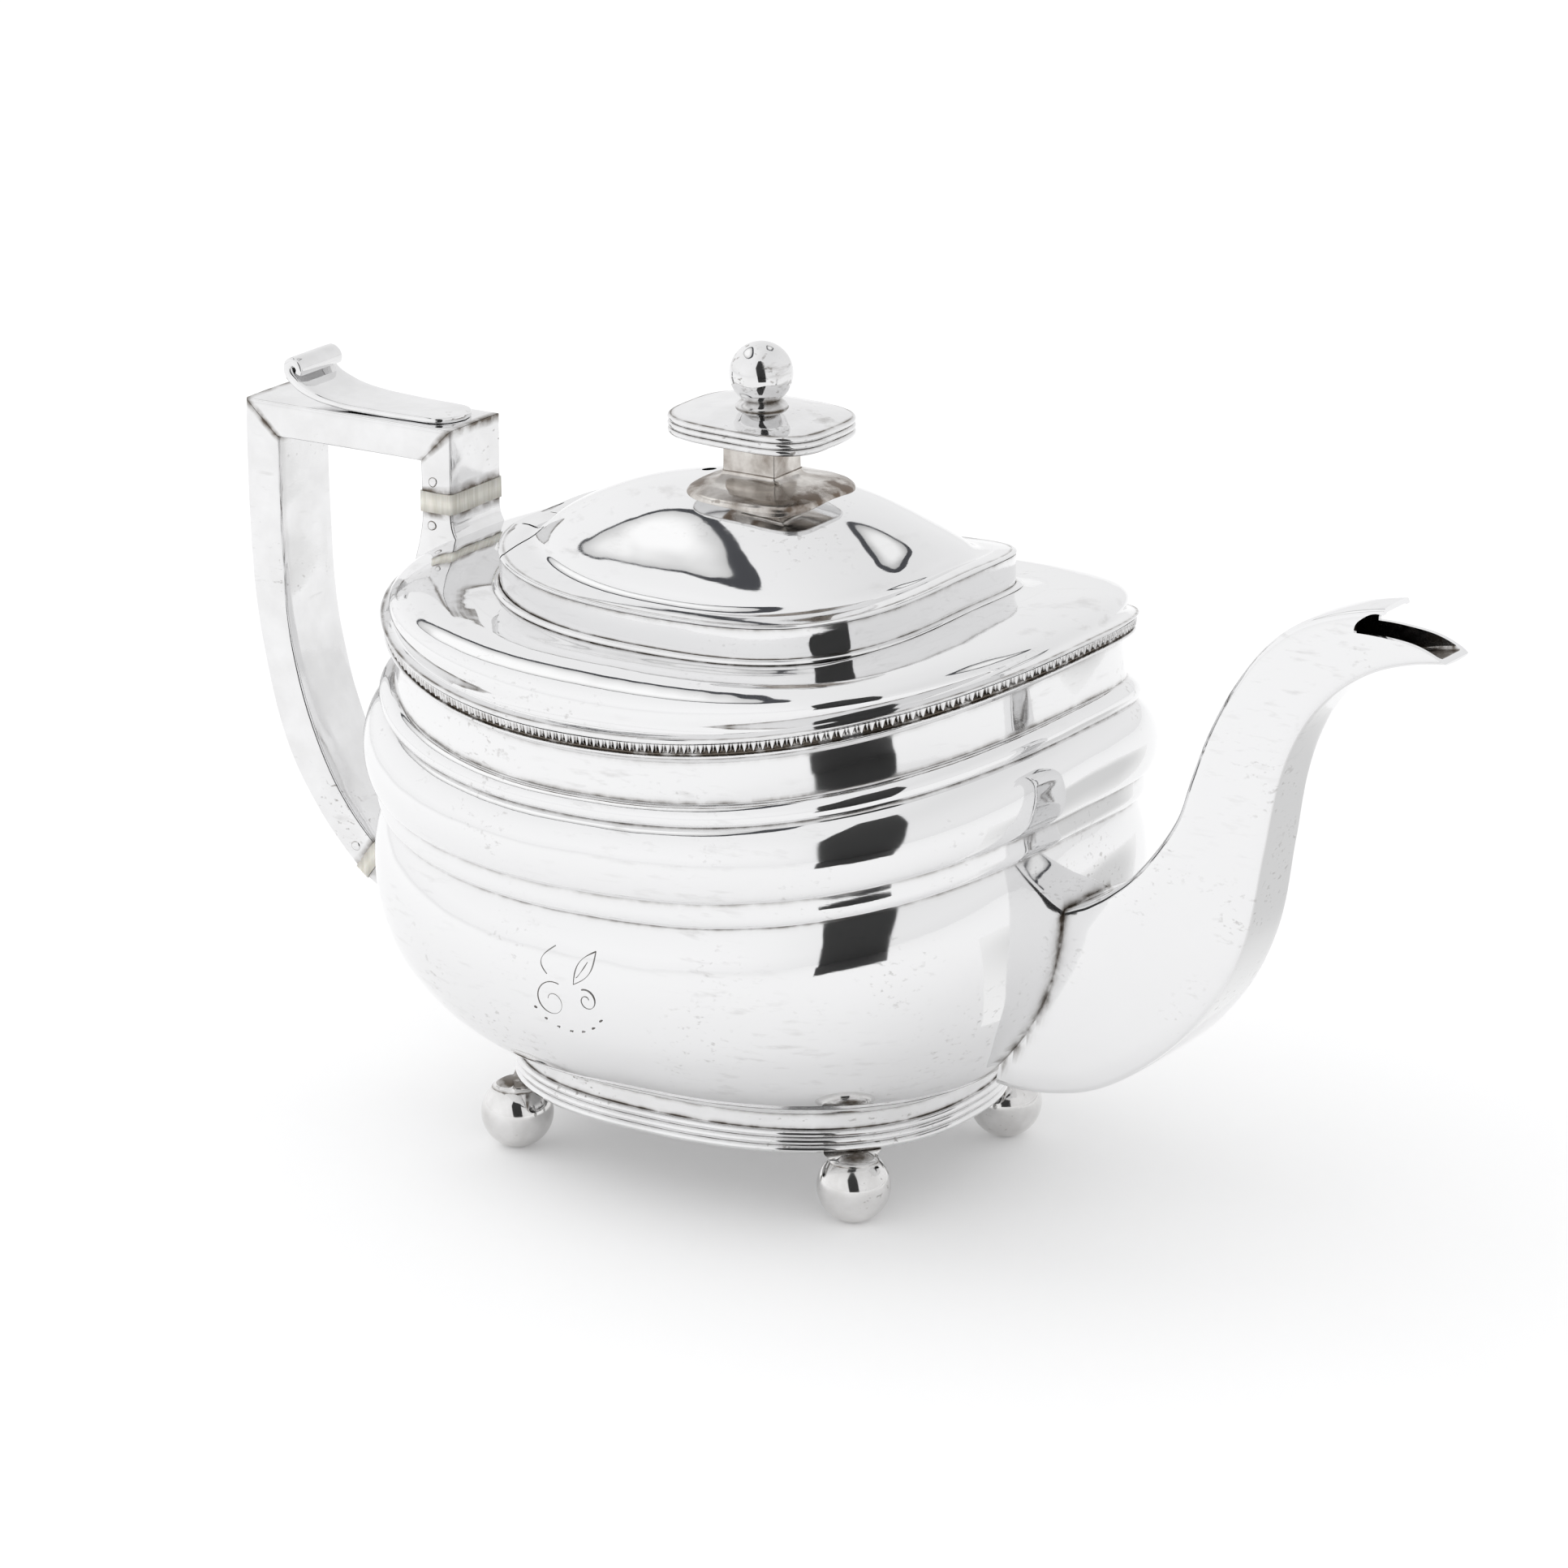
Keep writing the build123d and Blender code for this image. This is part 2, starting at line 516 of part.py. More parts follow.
with BuildPart() as handle_grip:
    with BuildSketch(side(HANDLE_W)):
        with BuildLine():
            back = Spline((-HANDLE_REACH + 0.3, RAIL_TOP - SEAM), (-HANDLE_REACH, 115.0), (-110.9, 85.0),
                          (-104.2, 62.0), at_joint(-JOINT_HALF, 0))
            end = Line(back @ 1, at_joint(JOINT_HALF, 0))
            front = Spline(end @ 1, (-91.8, 55.6), (-98.8, 69.0), (-103.6, 86.0), (GRIP_IN + 0.2, 108.0),
                           (GRIP_IN, RAIL_UNDER - SEAM))
            Line(front @ 1, back @ 0)
        make_face()
    extrude(amount=2 * HANDLE_W)
    with BuildSketch(side(HANDLE_W - w)):
        with BuildLine():
            back = Spline((-HANDLE_REACH + 1.5, 128.0), (-HANDLE_REACH + w, 115.0), (-109.8, 85.0),
                          (-103.2, 62.4), at_joint(-JOINT_HALF + w, 0))
            end = Line(back @ 1, at_joint(JOINT_HALF - w, 0))
            front = Spline(end @ 1, (-92.8, 56.4), (-99.9, 69.4), (-104.7, 86.3), (GRIP_IN - 0.9, 108.0),
                           (GRIP_IN - w, 126.0))
            Line(front @ 1, back @ 0)
        make_face()
    extrude(amount=2 * (HANDLE_W - w), mode=Mode.SUBTRACT)
    add(rivet_hole(*RIVETS[2]), mode=Mode.SUBTRACT)
handle_grip.part.label = "handle_grip"

shoulder_core = ring(grown(shoulder_outer, SEAM, SEAM)
                     + [around_axis(10, MOUTH_Z), around_axis(10, RIM_Z - 8),
                        level(RIM_A + 0.1, RIM_Z - 8, RIM_Z), level(RIM_A + 0.1, RIM_Z + 1.0, RIM_Z)])
t_in = w + SEAM
with BuildPart() as upper_insulator:
    add(box_beam([(LEG_OUT + BREAK_PROUD, BREAK_TOP - SEAM), (LEG_OUT + BREAK_PROUD, BREAK_UNDER + SEAM),
                  (LEG_IN - BREAK_PROUD, BREAK_UNDER + SEAM), (LEG_IN - BREAK_PROUD, BREAK_TOP - SEAM)],
                 HANDLE_W + BREAK_PROUD))
    add(box_beam([(LEG_OUT - t_in, BREAK_TOP + TENON), (LEG_OUT - t_in, BREAK_UNDER - TENON),
                  (LEG_IN + t_in, BREAK_UNDER - TENON), (LEG_IN + t_in, BREAK_TOP + TENON)],
                 HANDLE_W - t_in))
    for x, z in RIVETS[:2]:
        add(rivet_hole(x, z), mode=Mode.SUBTRACT)
    add(shoulder_core, mode=Mode.SUBTRACT)
upper_insulator.part.label = "upper_insulator"

proud = JOINT_HALF + BREAK_PROUD
tenon_half = JOINT_HALF - t_in - 0.7
with BuildPart() as lower_insulator:
    add(box_beam([at_joint(-proud, SEAM), at_joint(proud, SEAM), at_joint(proud, BREAK_T - SEAM),
                  at_joint(-proud, BREAK_T - SEAM)], HANDLE_W + BREAK_PROUD))
    add(box_beam([at_joint(-tenon_half, -TENON), at_joint(tenon_half, -TENON),
                  at_joint(tenon_half, BREAK_T + TENON), at_joint(-tenon_half, BREAK_T + TENON)],
                 HANDLE_W - t_in))
    for x, z in RIVETS[2:]:
        add(rivet_hole(x, z), mode=Mode.SUBTRACT)
lower_insulator.part.label = "lower_insulator"

with BuildPart() as upper_socket_blank:
    add(box_beam([(LEG_OUT, BREAK_UNDER), (LEG_OUT + 0.5, 113.5), (LEG_OUT + 3.5, 110.5),
                  (LEG_OUT + 3.5, 104.0), (-74.0, 104.0), (-73.6, 107.5), (LEG_IN - 0.6, 112.5), (LEG_IN, BREAK_UNDER)], HANDLE_W))
    add(box_beam([(LEG_OUT - w, BREAK_UNDER), (LEG_OUT - w, BREAK_UNDER - TENON - w),
                  (LEG_IN + w, BREAK_UNDER - TENON - w), (LEG_IN + w, BREAK_UNDER)], HANDLE_W - w),
        mode=Mode.SUBTRACT)
    add(rivet_hole(*RIVETS[1]), mode=Mode.SUBTRACT)
    add(shoulder_core, mode=Mode.SUBTRACT)
with BuildPart() as handle_upper_socket:
    add(upper_socket_blank.part.solids().sort_by(Axis.Z)[-1])
handle_upper_socket.part.label = "handle_upper_socket"

with BuildPart() as lower_socket_blank:
    add(box_beam([at_joint(-JOINT_HALF, BREAK_T), at_joint(JOINT_HALF, BREAK_T), (-77.5, 44.5),
                  (-66.0, 44.5), (-60.0, 33.0), (-74.0, 34.0)], HANDLE_W))
    add(box_beam([at_joint(-JOINT_HALF + w, BREAK_T), at_joint(JOINT_HALF - w, BREAK_T),
                  at_joint(JOINT_HALF - w, BREAK_T + TENON + w), at_joint(-JOINT_HALF + w, BREAK_T + TENON + w)],
                 HANDLE_W - w), mode=Mode.SUBTRACT)
    add(rivet_hole(*RIVETS[3]), mode=Mode.SUBTRACT)
    add(core, mode=Mode.SUBTRACT)
with BuildPart() as handle_lower_socket:
    add(lower_socket_blank.part.solids().sort_by(Axis.X)[0])
handle_lower_socket.part.label = "handle_lower_socket"

with BuildPart() as handle_pins:
    for x, z in RIVETS:
        add(rivet_hole(x, z, RIVET_R - 0.03))
handle_pins.part.label = "handle_pins"

LEAF_W, LEAF_WIDE = 6.0, 8.0  # the leaf's half width at its rounded end and at the scroll
with BuildPart() as thumb_piece:
    with BuildSketch(side(LEAF_WIDE)):
        with BuildLine():
            base = Line((-66.8, RAIL_TOP + SEAM), (-104.0, RAIL_TOP + SEAM))
            back = Spline(base @ 1, (-105.5, 137.0), (-105.8, 140.4))
            roll = ThreePointArc(back @ 1, (-103.8, 142.5), (-101.9, 140.6))
            front = Spline(roll @ 1, (-99.6, 137.2), (-92.0, 135.1), (-84.0, 134.8))
            Polyline(front @ 1, (-66.8, 134.8), base @ 0)
        make_face()
    extrude(amount=2 * LEAF_WIDE)
    with BuildSketch(flat(RAIL_TOP - 1)):
        with BuildLine():
            Polyline((-71.0, LEAF_W), (-106.0, LEAF_WIDE), (-106.0, -LEAF_WIDE), (-71.0, -LEAF_W))
            ThreePointArc((-71.0, -LEAF_W), (-66.8, 0), (-71.0, LEAF_W))
        make_face()
    extrude(amount=15, mode=Mode.INTERSECT)
thumb_piece.part.label = "thumb_piece"

# ---------------------------------------------------------------- write one file for each piece
export_step(body_shell.part, "parts/body_shell.step")
export_step(base_plate.part, "parts/base_plate.step")
export_step(foot_collar.part, "parts/foot_collar.step")
export_step(foot_brackets.part, "parts/foot_brackets.step")
export_step(ball_feet.part, "parts/ball_feet.step")
export_step(gadroon_border.part, "parts/gadroon_border.step")
export_step(shoulder_cover.part, "parts/shoulder_cover.step")
export_step(gallery.part, "parts/gallery.step")
export_step(gallery_bead.part, "parts/gallery_bead.step")
export_step(hinge_plate.part, "parts/hinge_plate.step")
export_step(hinge_centre_knuckle.part, "parts/hinge_centre_knuckle.step")
export_step(hinge_pin.part, "parts/hinge_pin.step")
export_step(spout.part, "parts/spout.step")
export_step(handle_upper_socket.part, "parts/handle_upper_socket.step")
export_step(handle_lower_socket.part, "parts/handle_lower_socket.step")
export_step(upper_insulator.part, "parts/upper_insulator.step")
export_step(lower_insulator.part, "parts/lower_insulator.step")
export_step(handle_front_leg.part, "parts/handle_front_leg.step")
export_step(handle_top_rail.part, "parts/handle_top_rail.step")
export_step(handle_grip.part, "parts/handle_grip.step")
export_step(thumb_piece.part, "parts/thumb_piece.step")
export_step(handle_pins.part, "parts/handle_pins.step")
export_step(lid_cover.part, "parts/lid_cover.step")
export_step(lid_bezel.part, "parts/lid_bezel.step")
export_step(lid_knuckles.part, "parts/lid_knuckles.step")
export_step(finial_foot.part, "parts/finial_foot.step")
export_step(finial_stem.part, "parts/finial_stem.step")
export_step(finial_plate.part, "parts/finial_plate.step")
export_step(finial_ball.part, "parts/finial_ball.step")
export_step(finial_bolt.part, "parts/finial_bolt.step")
export_step(finial_washer.part, "parts/finial_washer.step")
export_step(finial_nut.part, "parts/finial_nut.step")
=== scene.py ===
"""An oval silver teapot on ball feet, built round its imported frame. Shapes are worked out in
millimetres from the body axis and made in metres, in the frame's own place."""

import math

import bmesh
import bpy
import numpy as np
from mathutils import Matrix, Vector


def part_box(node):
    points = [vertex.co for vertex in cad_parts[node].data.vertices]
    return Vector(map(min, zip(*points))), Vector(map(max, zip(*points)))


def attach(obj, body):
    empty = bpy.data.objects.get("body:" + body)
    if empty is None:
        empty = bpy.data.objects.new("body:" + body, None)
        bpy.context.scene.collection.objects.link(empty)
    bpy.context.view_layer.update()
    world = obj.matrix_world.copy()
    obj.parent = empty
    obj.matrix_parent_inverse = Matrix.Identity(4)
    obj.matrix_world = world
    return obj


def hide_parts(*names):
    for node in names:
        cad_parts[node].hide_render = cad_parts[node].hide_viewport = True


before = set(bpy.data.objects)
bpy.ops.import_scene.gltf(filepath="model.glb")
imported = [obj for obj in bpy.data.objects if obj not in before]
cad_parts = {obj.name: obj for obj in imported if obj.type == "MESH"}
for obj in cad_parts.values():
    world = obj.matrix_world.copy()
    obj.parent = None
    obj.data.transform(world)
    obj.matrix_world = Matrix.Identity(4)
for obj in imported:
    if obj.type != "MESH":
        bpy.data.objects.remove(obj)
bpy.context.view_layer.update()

MM = 0.001
foot_low, foot_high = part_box("ball_feet")
AXIS_X = (foot_low.x + foot_high.x) / 2 / MM  # the body axis in the frame, in mm

# ---------------------------------------------------------------- camera
CAMERA_TURN = 33.2  # degrees round from straight in front, towards the spout
CAMERA_RISE = 17.72
CAMERA_ROLL = 0.44
CAMERA_POINT = (747.69, -1160.92, 516.0)  # mm, in the frame
LENS = 176.7
# Level directions towards the camera and to the right as it sees the pot.
TO_CAMERA = Vector((CAMERA_POINT[0], CAMERA_POINT[1], 0)).normalized()
TO_RIGHT = Vector((-TO_CAMERA.y, TO_CAMERA.x, 0))


def view_axes(turn, rise, roll=0.0):
    """Right, up and backward directions of a view, turned about Z and raised, in degrees."""
    t, e, q = (math.radians(angle) for angle in (turn, rise, roll))
    right = Vector((math.cos(t), math.sin(t), 0))
    back = Vector((math.sin(t) * math.cos(e), -math.cos(t) * math.cos(e), math.sin(e)))
    up = back.cross(right)
    return right * math.cos(q) - up * math.sin(q), right * math.sin(q) + up * math.cos(q), back


def make_camera():
    camera = bpy.data.objects.new("camera", bpy.data.cameras.new("camera"))
    bpy.context.scene.collection.objects.link(camera)
    camera.data.lens = LENS
    camera.data.sensor_width = 36
    camera.data.clip_end = 50
    right, up, back = view_axes(CAMERA_TURN, CAMERA_RISE, CAMERA_ROLL)
    place = Vector(CAMERA_POINT) * MM
    turn = Matrix((right, up, back)).transposed().to_4x4()
    camera.matrix_world = Matrix.Translation(place) @ turn
    bpy.context.scene.camera = camera


make_camera()

# ---------------------------------------------------------------- the pot's lines
FOOT_Z = 13.3
SHELL_Z, SHELL_A = 22.4, 48.4
WAIST_Z = 67.3
RIM_Z, RIM_A = 99.8, 72.9
MOUTH_Z = 110.8
FLANGE_Z = 117.4
SILVER = 1.0  # thickness of the sheet
# Height, gap between half length and half width, power of the oval, sheer and tilt.
PLAN = np.array([
    (FOOT_Z, 8.5, 2.37, 0.0, 0.0),
    (SHELL_Z, 8.9, 2.4, 0.0, 0.0),
    (WAIST_Z, 13.6, 2.6, 11.2, 1.5),
    (RIM_Z, 14.7, 2.28, 12.2, 2.2),
    (RIM_Z + 3.2, 14.6, 2.29, 12.1, 2.2),
    (MOUTH_Z, 9.75, 3.2, 5.7, 0.0),
    (FLANGE_Z, 9.75, 3.2, 5.7, 0.0),
])


def level(a, z):
    """One line round the pot: half length, half width, power, mid height, sheer and tilt."""
    gap, power, sheer, tilt = (np.interp(z, PLAN[:, 0], PLAN[:, k]) for k in (1, 2, 3, 4))
    return (a, a - gap, power, z, sheer, tilt)


def levels(*points):
    """Lines for (half length, height) points."""
    return [level(a, z) for a, z in points]


def flat_line(a, b, power, z):
    """A line without sheer or tilt."""
    return (a, b, power, z, 0.0, 0.0)


def hermite(points, step):
    """A smooth curve through the points, sampled about every `step` along its first two or more
    numbers, with its running length."""
    points = np.array(points, float)
    gaps = np.linalg.norm(np.diff(points, axis=0), axis=1)
    at = np.concatenate(([0.0], np.cumsum(gaps)))
    if len(points) == 2:
        count = max(2, int(math.ceil(at[-1] / step)) + 1)
        t = np.linspace(0, 1, count)[:, None]
        return points[0] * (1 - t) + points[1] * t, np.linspace(0, at[-1], count)
    slopes = np.diff(points, axis=0) / gaps[:, None]
    tangents = np.empty_like(points)
    share = (gaps[:-1] / (gaps[:-1] + gaps[1:]))[:, None]
    tangents[1:-1] = slopes[:-1] * (1 - share) + slopes[1:] * share
    tangents[0] = 2 * slopes[0] - tangents[1]
    tangents[-1] = 2 * slopes[-1] - tangents[-2]
    out = [points[:1]]
    for i, gap in enumerate(gaps):
        count = max(2, int(math.ceil(gap / step)))
        t = (np.arange(count) + 1)[:, None] / count
        h00, h10 = 2 * t**3 - 3 * t**2 + 1, t**3 - 2 * t**2 + t
        h01, h11 = -2 * t**3 + 3 * t**2, t**3 - t**2
        out.append(h00 * points[i] + h10 * gap * tangents[i]
                   + h01 * points[i + 1] + h11 * gap * tangents[i + 1])
    curve = np.vstack(out)
    run = np.concatenate(([0.0], np.cumsum(np.linalg.norm(np.diff(curve, axis=0), axis=1))))
    return curve, run


CREASE_FADE = 0.32  # mm over which tarnish fades out of a crease


def profile(runs, step=0.8):
    """Joins smooth runs of lines at corners. Each run is (lines, tarnish at its start, at its end).
    Returns the lines with tarnish as a last column."""
    rows = []
    for lines, first, last in runs:
        curve, run = hermite(lines, step)
        dark = first * np.exp(-run / CREASE_FADE) + last * np.exp(-(run[-1] - run) / CREASE_FADE)
        rows.append(np.column_stack((curve, np.clip(dark, 0, 1))))
        if len(rows) > 1:
            rows[-1] = rows[-1][1:]
    return np.vstack(rows)


def around(lines, count):
    """Points of each line at `count` angles round the body axis: an array (lines, count, 3)."""
    phi = np.arange(count) * 2 * math.pi / count
    a, b, power, z, sheer, tilt = (lines[:, k][:, None] for k in range(6))
    r = ((np.abs(np.cos(phi)) / a) ** power + (np.abs(np.sin(phi)) / b) ** power) ** (-1 / power)
    along, across = r * np.cos(phi) / a, r * np.sin(phi) / b
    height = z + sheer / 2 * (along**2 - across**2) + tilt * along
    return np.stack((r * np.cos(phi), r * np.sin(phi), height), axis=-1)


# ---------------------------------------------------------------- hand-worked surface
def waves(points, length, seed, count=18):
    """A smooth random field between about -1 and 1, whose bumps are about `length` mm long."""
    draw = np.random.default_rng(seed)
    ways = draw.normal(size=(count, 3))
    ways /= np.linalg.norm(ways, axis=1)[:, None]
    sizes = 2 * math.pi / (length * draw.uniform(0.65, 1.8, count))
    phases = draw.uniform(0, 2 * math.pi, count)
    field = np.zeros(points.shape[:-1])
    for way, size, phase in zip(ways, sizes, phases):
        field += np.sin(points @ way * size + phase)
    return field / math.sqrt(count)


def grid_normals(grid, wrap_rows, wrap_cols):
    """Unit normals of a grid of points, closed on itself along the axes that wrap."""
    def change(axis, wrap):
        if wrap:
            return np.roll(grid, -1, axis) - np.roll(grid, 1, axis)
        return np.gradient(grid, axis=axis)
    normal = np.cross(change(1, wrap_cols), change(0, wrap_rows))
    size = np.linalg.norm(normal, axis=-1, keepdims=True)
    return normal / np.where(size > 1e-12, size, 1)


def beaten(grid, amount, seed, wrap_rows=True, wrap_cols=True):
    """The grid moved along its normals by the slight waves that hammering and wear leave."""
    normals = grid_normals(grid, wrap_rows, wrap_cols)
    field = waves(grid, 17.0, seed) + 0.22 * waves(grid, 6.0, seed + 1) + 0.05 * waves(grid, 2.6, seed + 2)
    return grid + normals * (amount * field)[..., None]


# ---------------------------------------------------------------- meshes
def grid_faces(rows, cols, wrap_rows=True, wrap_cols=True):
    """Four-sided faces of a grid, as rows of point numbers."""
    i, j = np.meshgrid(np.arange(rows if wrap_rows else rows - 1),
                       np.arange(cols if wrap_cols else cols - 1), indexing="ij")
    i2, j2 = (i + 1) % rows, (j + 1) % cols
    return np.stack((i * cols + j, i * cols + j2, i2 * cols + j2, i2 * cols + j), axis=-1).reshape(-1, 4)


def make_mesh(name, parts, sharp=34.0):
    """One object from (points in mm from the body axis, faces, tarnish) parts."""
    points, faces, dark, start = [], [], [], 0
    for part_points, part_faces, part_dark in parts:
        flat = np.asarray(part_points, float).reshape(-1, 3)
        points.append(flat)
        faces += [tuple(int(v) + start for v in face) for face in part_faces]
        dark.append(np.broadcast_to(np.asarray(part_dark, float).ravel(), (len(flat),)))
        start += len(flat)
    points = (np.vstack(points) + (AXIS_X, 0, 0)) * MM
    mesh = bpy.data.meshes.new(name)
    mesh.from_pydata(points.tolist(), [], faces)
    mesh.validate()
    crease = mesh.attributes.new("crease", "FLOAT", "POINT")
    crease.data.foreach_set("value", np.concatenate(dark).astype(np.float32))
    piece = bpy.data.objects.new(name, mesh)
    bpy.context.scene.collection.objects.link(piece)
    outwards(piece)
    smooth_shade(piece, sharp)
    return piece


def outwards(piece):
    """Turns a closed mesh's faces outwards."""
    work = bmesh.new()
    work.from_mesh(piece.data)
    bmesh.ops.recalc_face_normals(work, faces=work.faces)
    work.to_mesh(piece.data)
    work.free()


def smooth_shade(piece, sharp):
    """Smooth shading, broken at edges sharper than `sharp` degrees."""
    mesh = piece.data
    mesh.polygons.foreach_set("use_smooth", [True] * len(mesh.polygons))
    mesh.set_sharp_from_angle(angle=math.radians(sharp))


def ring_part(lines, count, amount=0.0, seed=1, shift=(0, 0, 0)):
    """A closed ring whose section is the closed polygon of the lines."""
    grid = around(lines, count) + np.array(shift)
    if amount:
        grid = beaten(grid, amount, seed)
    dark = np.repeat(lines[:, 6][:, None], count, axis=1)
    return grid, grid_faces(len(lines), count), dark


def capped_part(grid, dark, amount=0.0, seed=1):
    """A tube from a grid of rows, closed at both ends by a flat face."""
    if amount:
        grid = beaten(grid, amount, seed, wrap_rows=False)
    rows, cols = grid.shape[:2]
    faces = [tuple(face) for face in grid_faces(rows, cols, wrap_rows=False)]
    faces.append(tuple(range(cols)))
    faces.append(tuple((rows - 1) * cols + k for k in range(cols)))
    return grid, faces, dark


def closed_section(outer, inner):
    """Outer lines, then inner lines back again."""
    return np.vstack((outer, inner[::-1]))


INSIDE_TARNISH = 0.15


def inner_of(outer, thickness, every=3):
    """The inner side of a wall, from one in `every` of the outer lines."""
    inner = outer[::every].copy()
    inner[:, 0] -= thickness
    inner[:, 1] -= thickness
    inner[:, 6] = INSIDE_TARNISH
    return inner


def boolean(piece, other, how, sharp=34.0):
    """Applies a boolean between closed meshes and deletes the other object."""
    change = piece.modifiers.new("cut", "BOOLEAN")
    change.operation = how
    change.solver = "MANIFOLD"
    change.object = other
    bpy.context.view_layer.update()
    graph = bpy.context.evaluated_depsgraph_get()
    mesh = bpy.data.meshes.new_from_object(piece.evaluated_get(graph))
    piece.modifiers.clear()
    old = piece.data
    piece.data = mesh
    bpy.data.meshes.remove(old)
    bpy.data.objects.remove(other)
    smooth_shade(piece, sharp)
    return piece


def prism(name, outline, y_low, y_high):
    """A straight-sided block whose outline is in the XZ plane, mm from the body axis."""
    count = len(outline)
    points = [(x, y, z) for y in (y_low, y_high) for x, z in outline]
    faces = [tuple(range(count)), tuple(range(count, 2 * count))[::-1]]
    faces += [(k, (k + 1) % count, count + (k + 1) % count, count + k) for k in range(count)]
    return make_mesh(name, [(points, faces, 0.0)])


def dress(piece, material, body, *nodes, slot="polished_silver"):
    """Gives a piece its material and its body, and hides the frame's nodes that it stands for."""
    piece.data.materials.clear()
    piece.data.materials.append(material)
    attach(piece, body)
    if nodes:
        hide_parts(*nodes)
    return piece


# ---------------------------------------------------------------- materials
def start_material(name):
    """A new material's node tree, main shader and tarnish value from the mesh."""
    material = bpy.data.materials.new(name)
    material.use_nodes = True
    tree = material.node_tree
    crease = tree.nodes.new("ShaderNodeAttribute")
    crease.attribute_name = "crease"
    return material, tree, tree.nodes["Principled BSDF"], crease.outputs["Fac"]


def noise(tree, scale, detail, stretch=None, rough=0.55):
    """Noise fixed to the object. `stretch` squeezes the bumps along an axis."""
    places = [node for node in tree.nodes if node.type == "TEX_COORD"]
    source = (places[0] if places else tree.nodes.new("ShaderNodeTexCoord")).outputs["Object"]
    if stretch:
        mapping = tree.nodes.new("ShaderNodeMapping")
        mapping.inputs["Scale"].default_value = stretch
        tree.links.new(source, mapping.inputs["Vector"])
        source = mapping.outputs["Vector"]
    texture = tree.nodes.new("ShaderNodeTexNoise")
    for socket, value in (("Scale", scale), ("Detail", detail), ("Roughness", rough)):
        texture.inputs[socket].default_value = value
    tree.links.new(source, texture.inputs["Vector"])
    return texture.outputs["Fac"]


def ramp(tree, value, low, high, to_low=0.0, to_high=1.0):
    """The value moved from the range low..high to to_low..to_high, and held there."""
    node = tree.nodes.new("ShaderNodeMapRange")
    for socket, number in (("From Min", low), ("From Max", high), ("To Min", to_low), ("To Max", to_high)):
        node.inputs[socket].default_value = number
    tree.links.new(value, node.inputs["Value"])
    return node.outputs["Result"]


def maths(tree, how, first, second):
    """A sum of two values or numbers. ADD and MAXIMUM are held within 0..1."""
    node = tree.nodes.new("ShaderNodeMath")
    node.operation = how
    node.use_clamp = how in ("ADD", "MAXIMUM")
    for socket, value in zip(node.inputs, (first, second)):
        if isinstance(value, float):
            socket.default_value = value
        else:
            tree.links.new(value, socket)
    return node.outputs[0]


def bump(tree, height, distance, below=None):
    node = tree.nodes.new("ShaderNodeBump")
    node.inputs["Distance"].default_value = distance
    tree.links.new(height, node.inputs["Height"])
    if below is not None:
        tree.links.new(below, node.inputs["Normal"])
    return node.outputs["Normal"]


def blend(tree, share, first, second):
    """A colour from `first` to `second`, either of which may be a number triple."""
    node = tree.nodes.new("ShaderNodeMix")
    node.data_type = "RGBA"
    for socket, value in (("A", first), ("B", second)):
        if isinstance(value, tuple):
            node.inputs[socket].default_value = (*value, 1)
        else:
            tree.links.new(value, node.inputs[socket])
    tree.links.new(share, node.inputs["Factor"])
    return node.outputs["Result"]


def silver_material(name, clean, stained, spots, stain_all=0.0, gloss=0.045):
    """Polished sterling silver: faint hammer waves, fine wiping scratches, cloudy wear, tarnish in
    the creases and scattered dark specks. `stain_all` spreads tarnish over the whole piece."""
    material, tree, shader, crease = start_material(name)
    shader.inputs["Metallic"].default_value = 1.0
    in_creases = maths(tree, "MULTIPLY", crease, ramp(tree, noise(tree, 260, 3), 0.32, 0.66, 0.3, 1.6))
    patches = ramp(tree, noise(tree, 38, 3), 0.52, 0.66)
    specks = maths(tree, "MULTIPLY", ramp(tree, noise(tree, 620, 2, (1, 1, 1.6)), 0.60, 0.72), patches)
    smears = maths(tree, "MULTIPLY", ramp(tree, noise(tree, 150, 4, (1, 1, 4.5)), 0.56, 0.74),
                   ramp(tree, noise(tree, 24, 2), 0.5, 0.66))
    marks = maths(tree, "ADD", specks, maths(tree, "MULTIPLY", smears, 0.55))
    spotted = maths(tree, "MULTIPLY", marks, float(spots))
    film = maths(tree, "MULTIPLY", ramp(tree, noise(tree, 140, 5), 0.33, 0.66), float(stain_all))
    tarnish = maths(tree, "MAXIMUM", maths(tree, "MAXIMUM", in_creases, spotted), film)
    tree.links.new(blend(tree, tarnish, clean, stained), shader.inputs["Base Color"])

    cloud = ramp(tree, noise(tree, 70, 4), 0.25, 0.8, gloss * 0.6, gloss * 1.8)
    rough = maths(tree, "ADD", cloud, maths(tree, "MULTIPLY", tarnish, 0.28))
    tree.links.new(rough, shader.inputs["Roughness"])

    waved = bump(tree, noise(tree, 140, 2), 0.000006)
    scratched = bump(tree, noise(tree, 900, 3, (1, 1, 7)), 0.0000012, waved)
    tree.links.new(scratched, shader.inputs["Normal"])
    return material


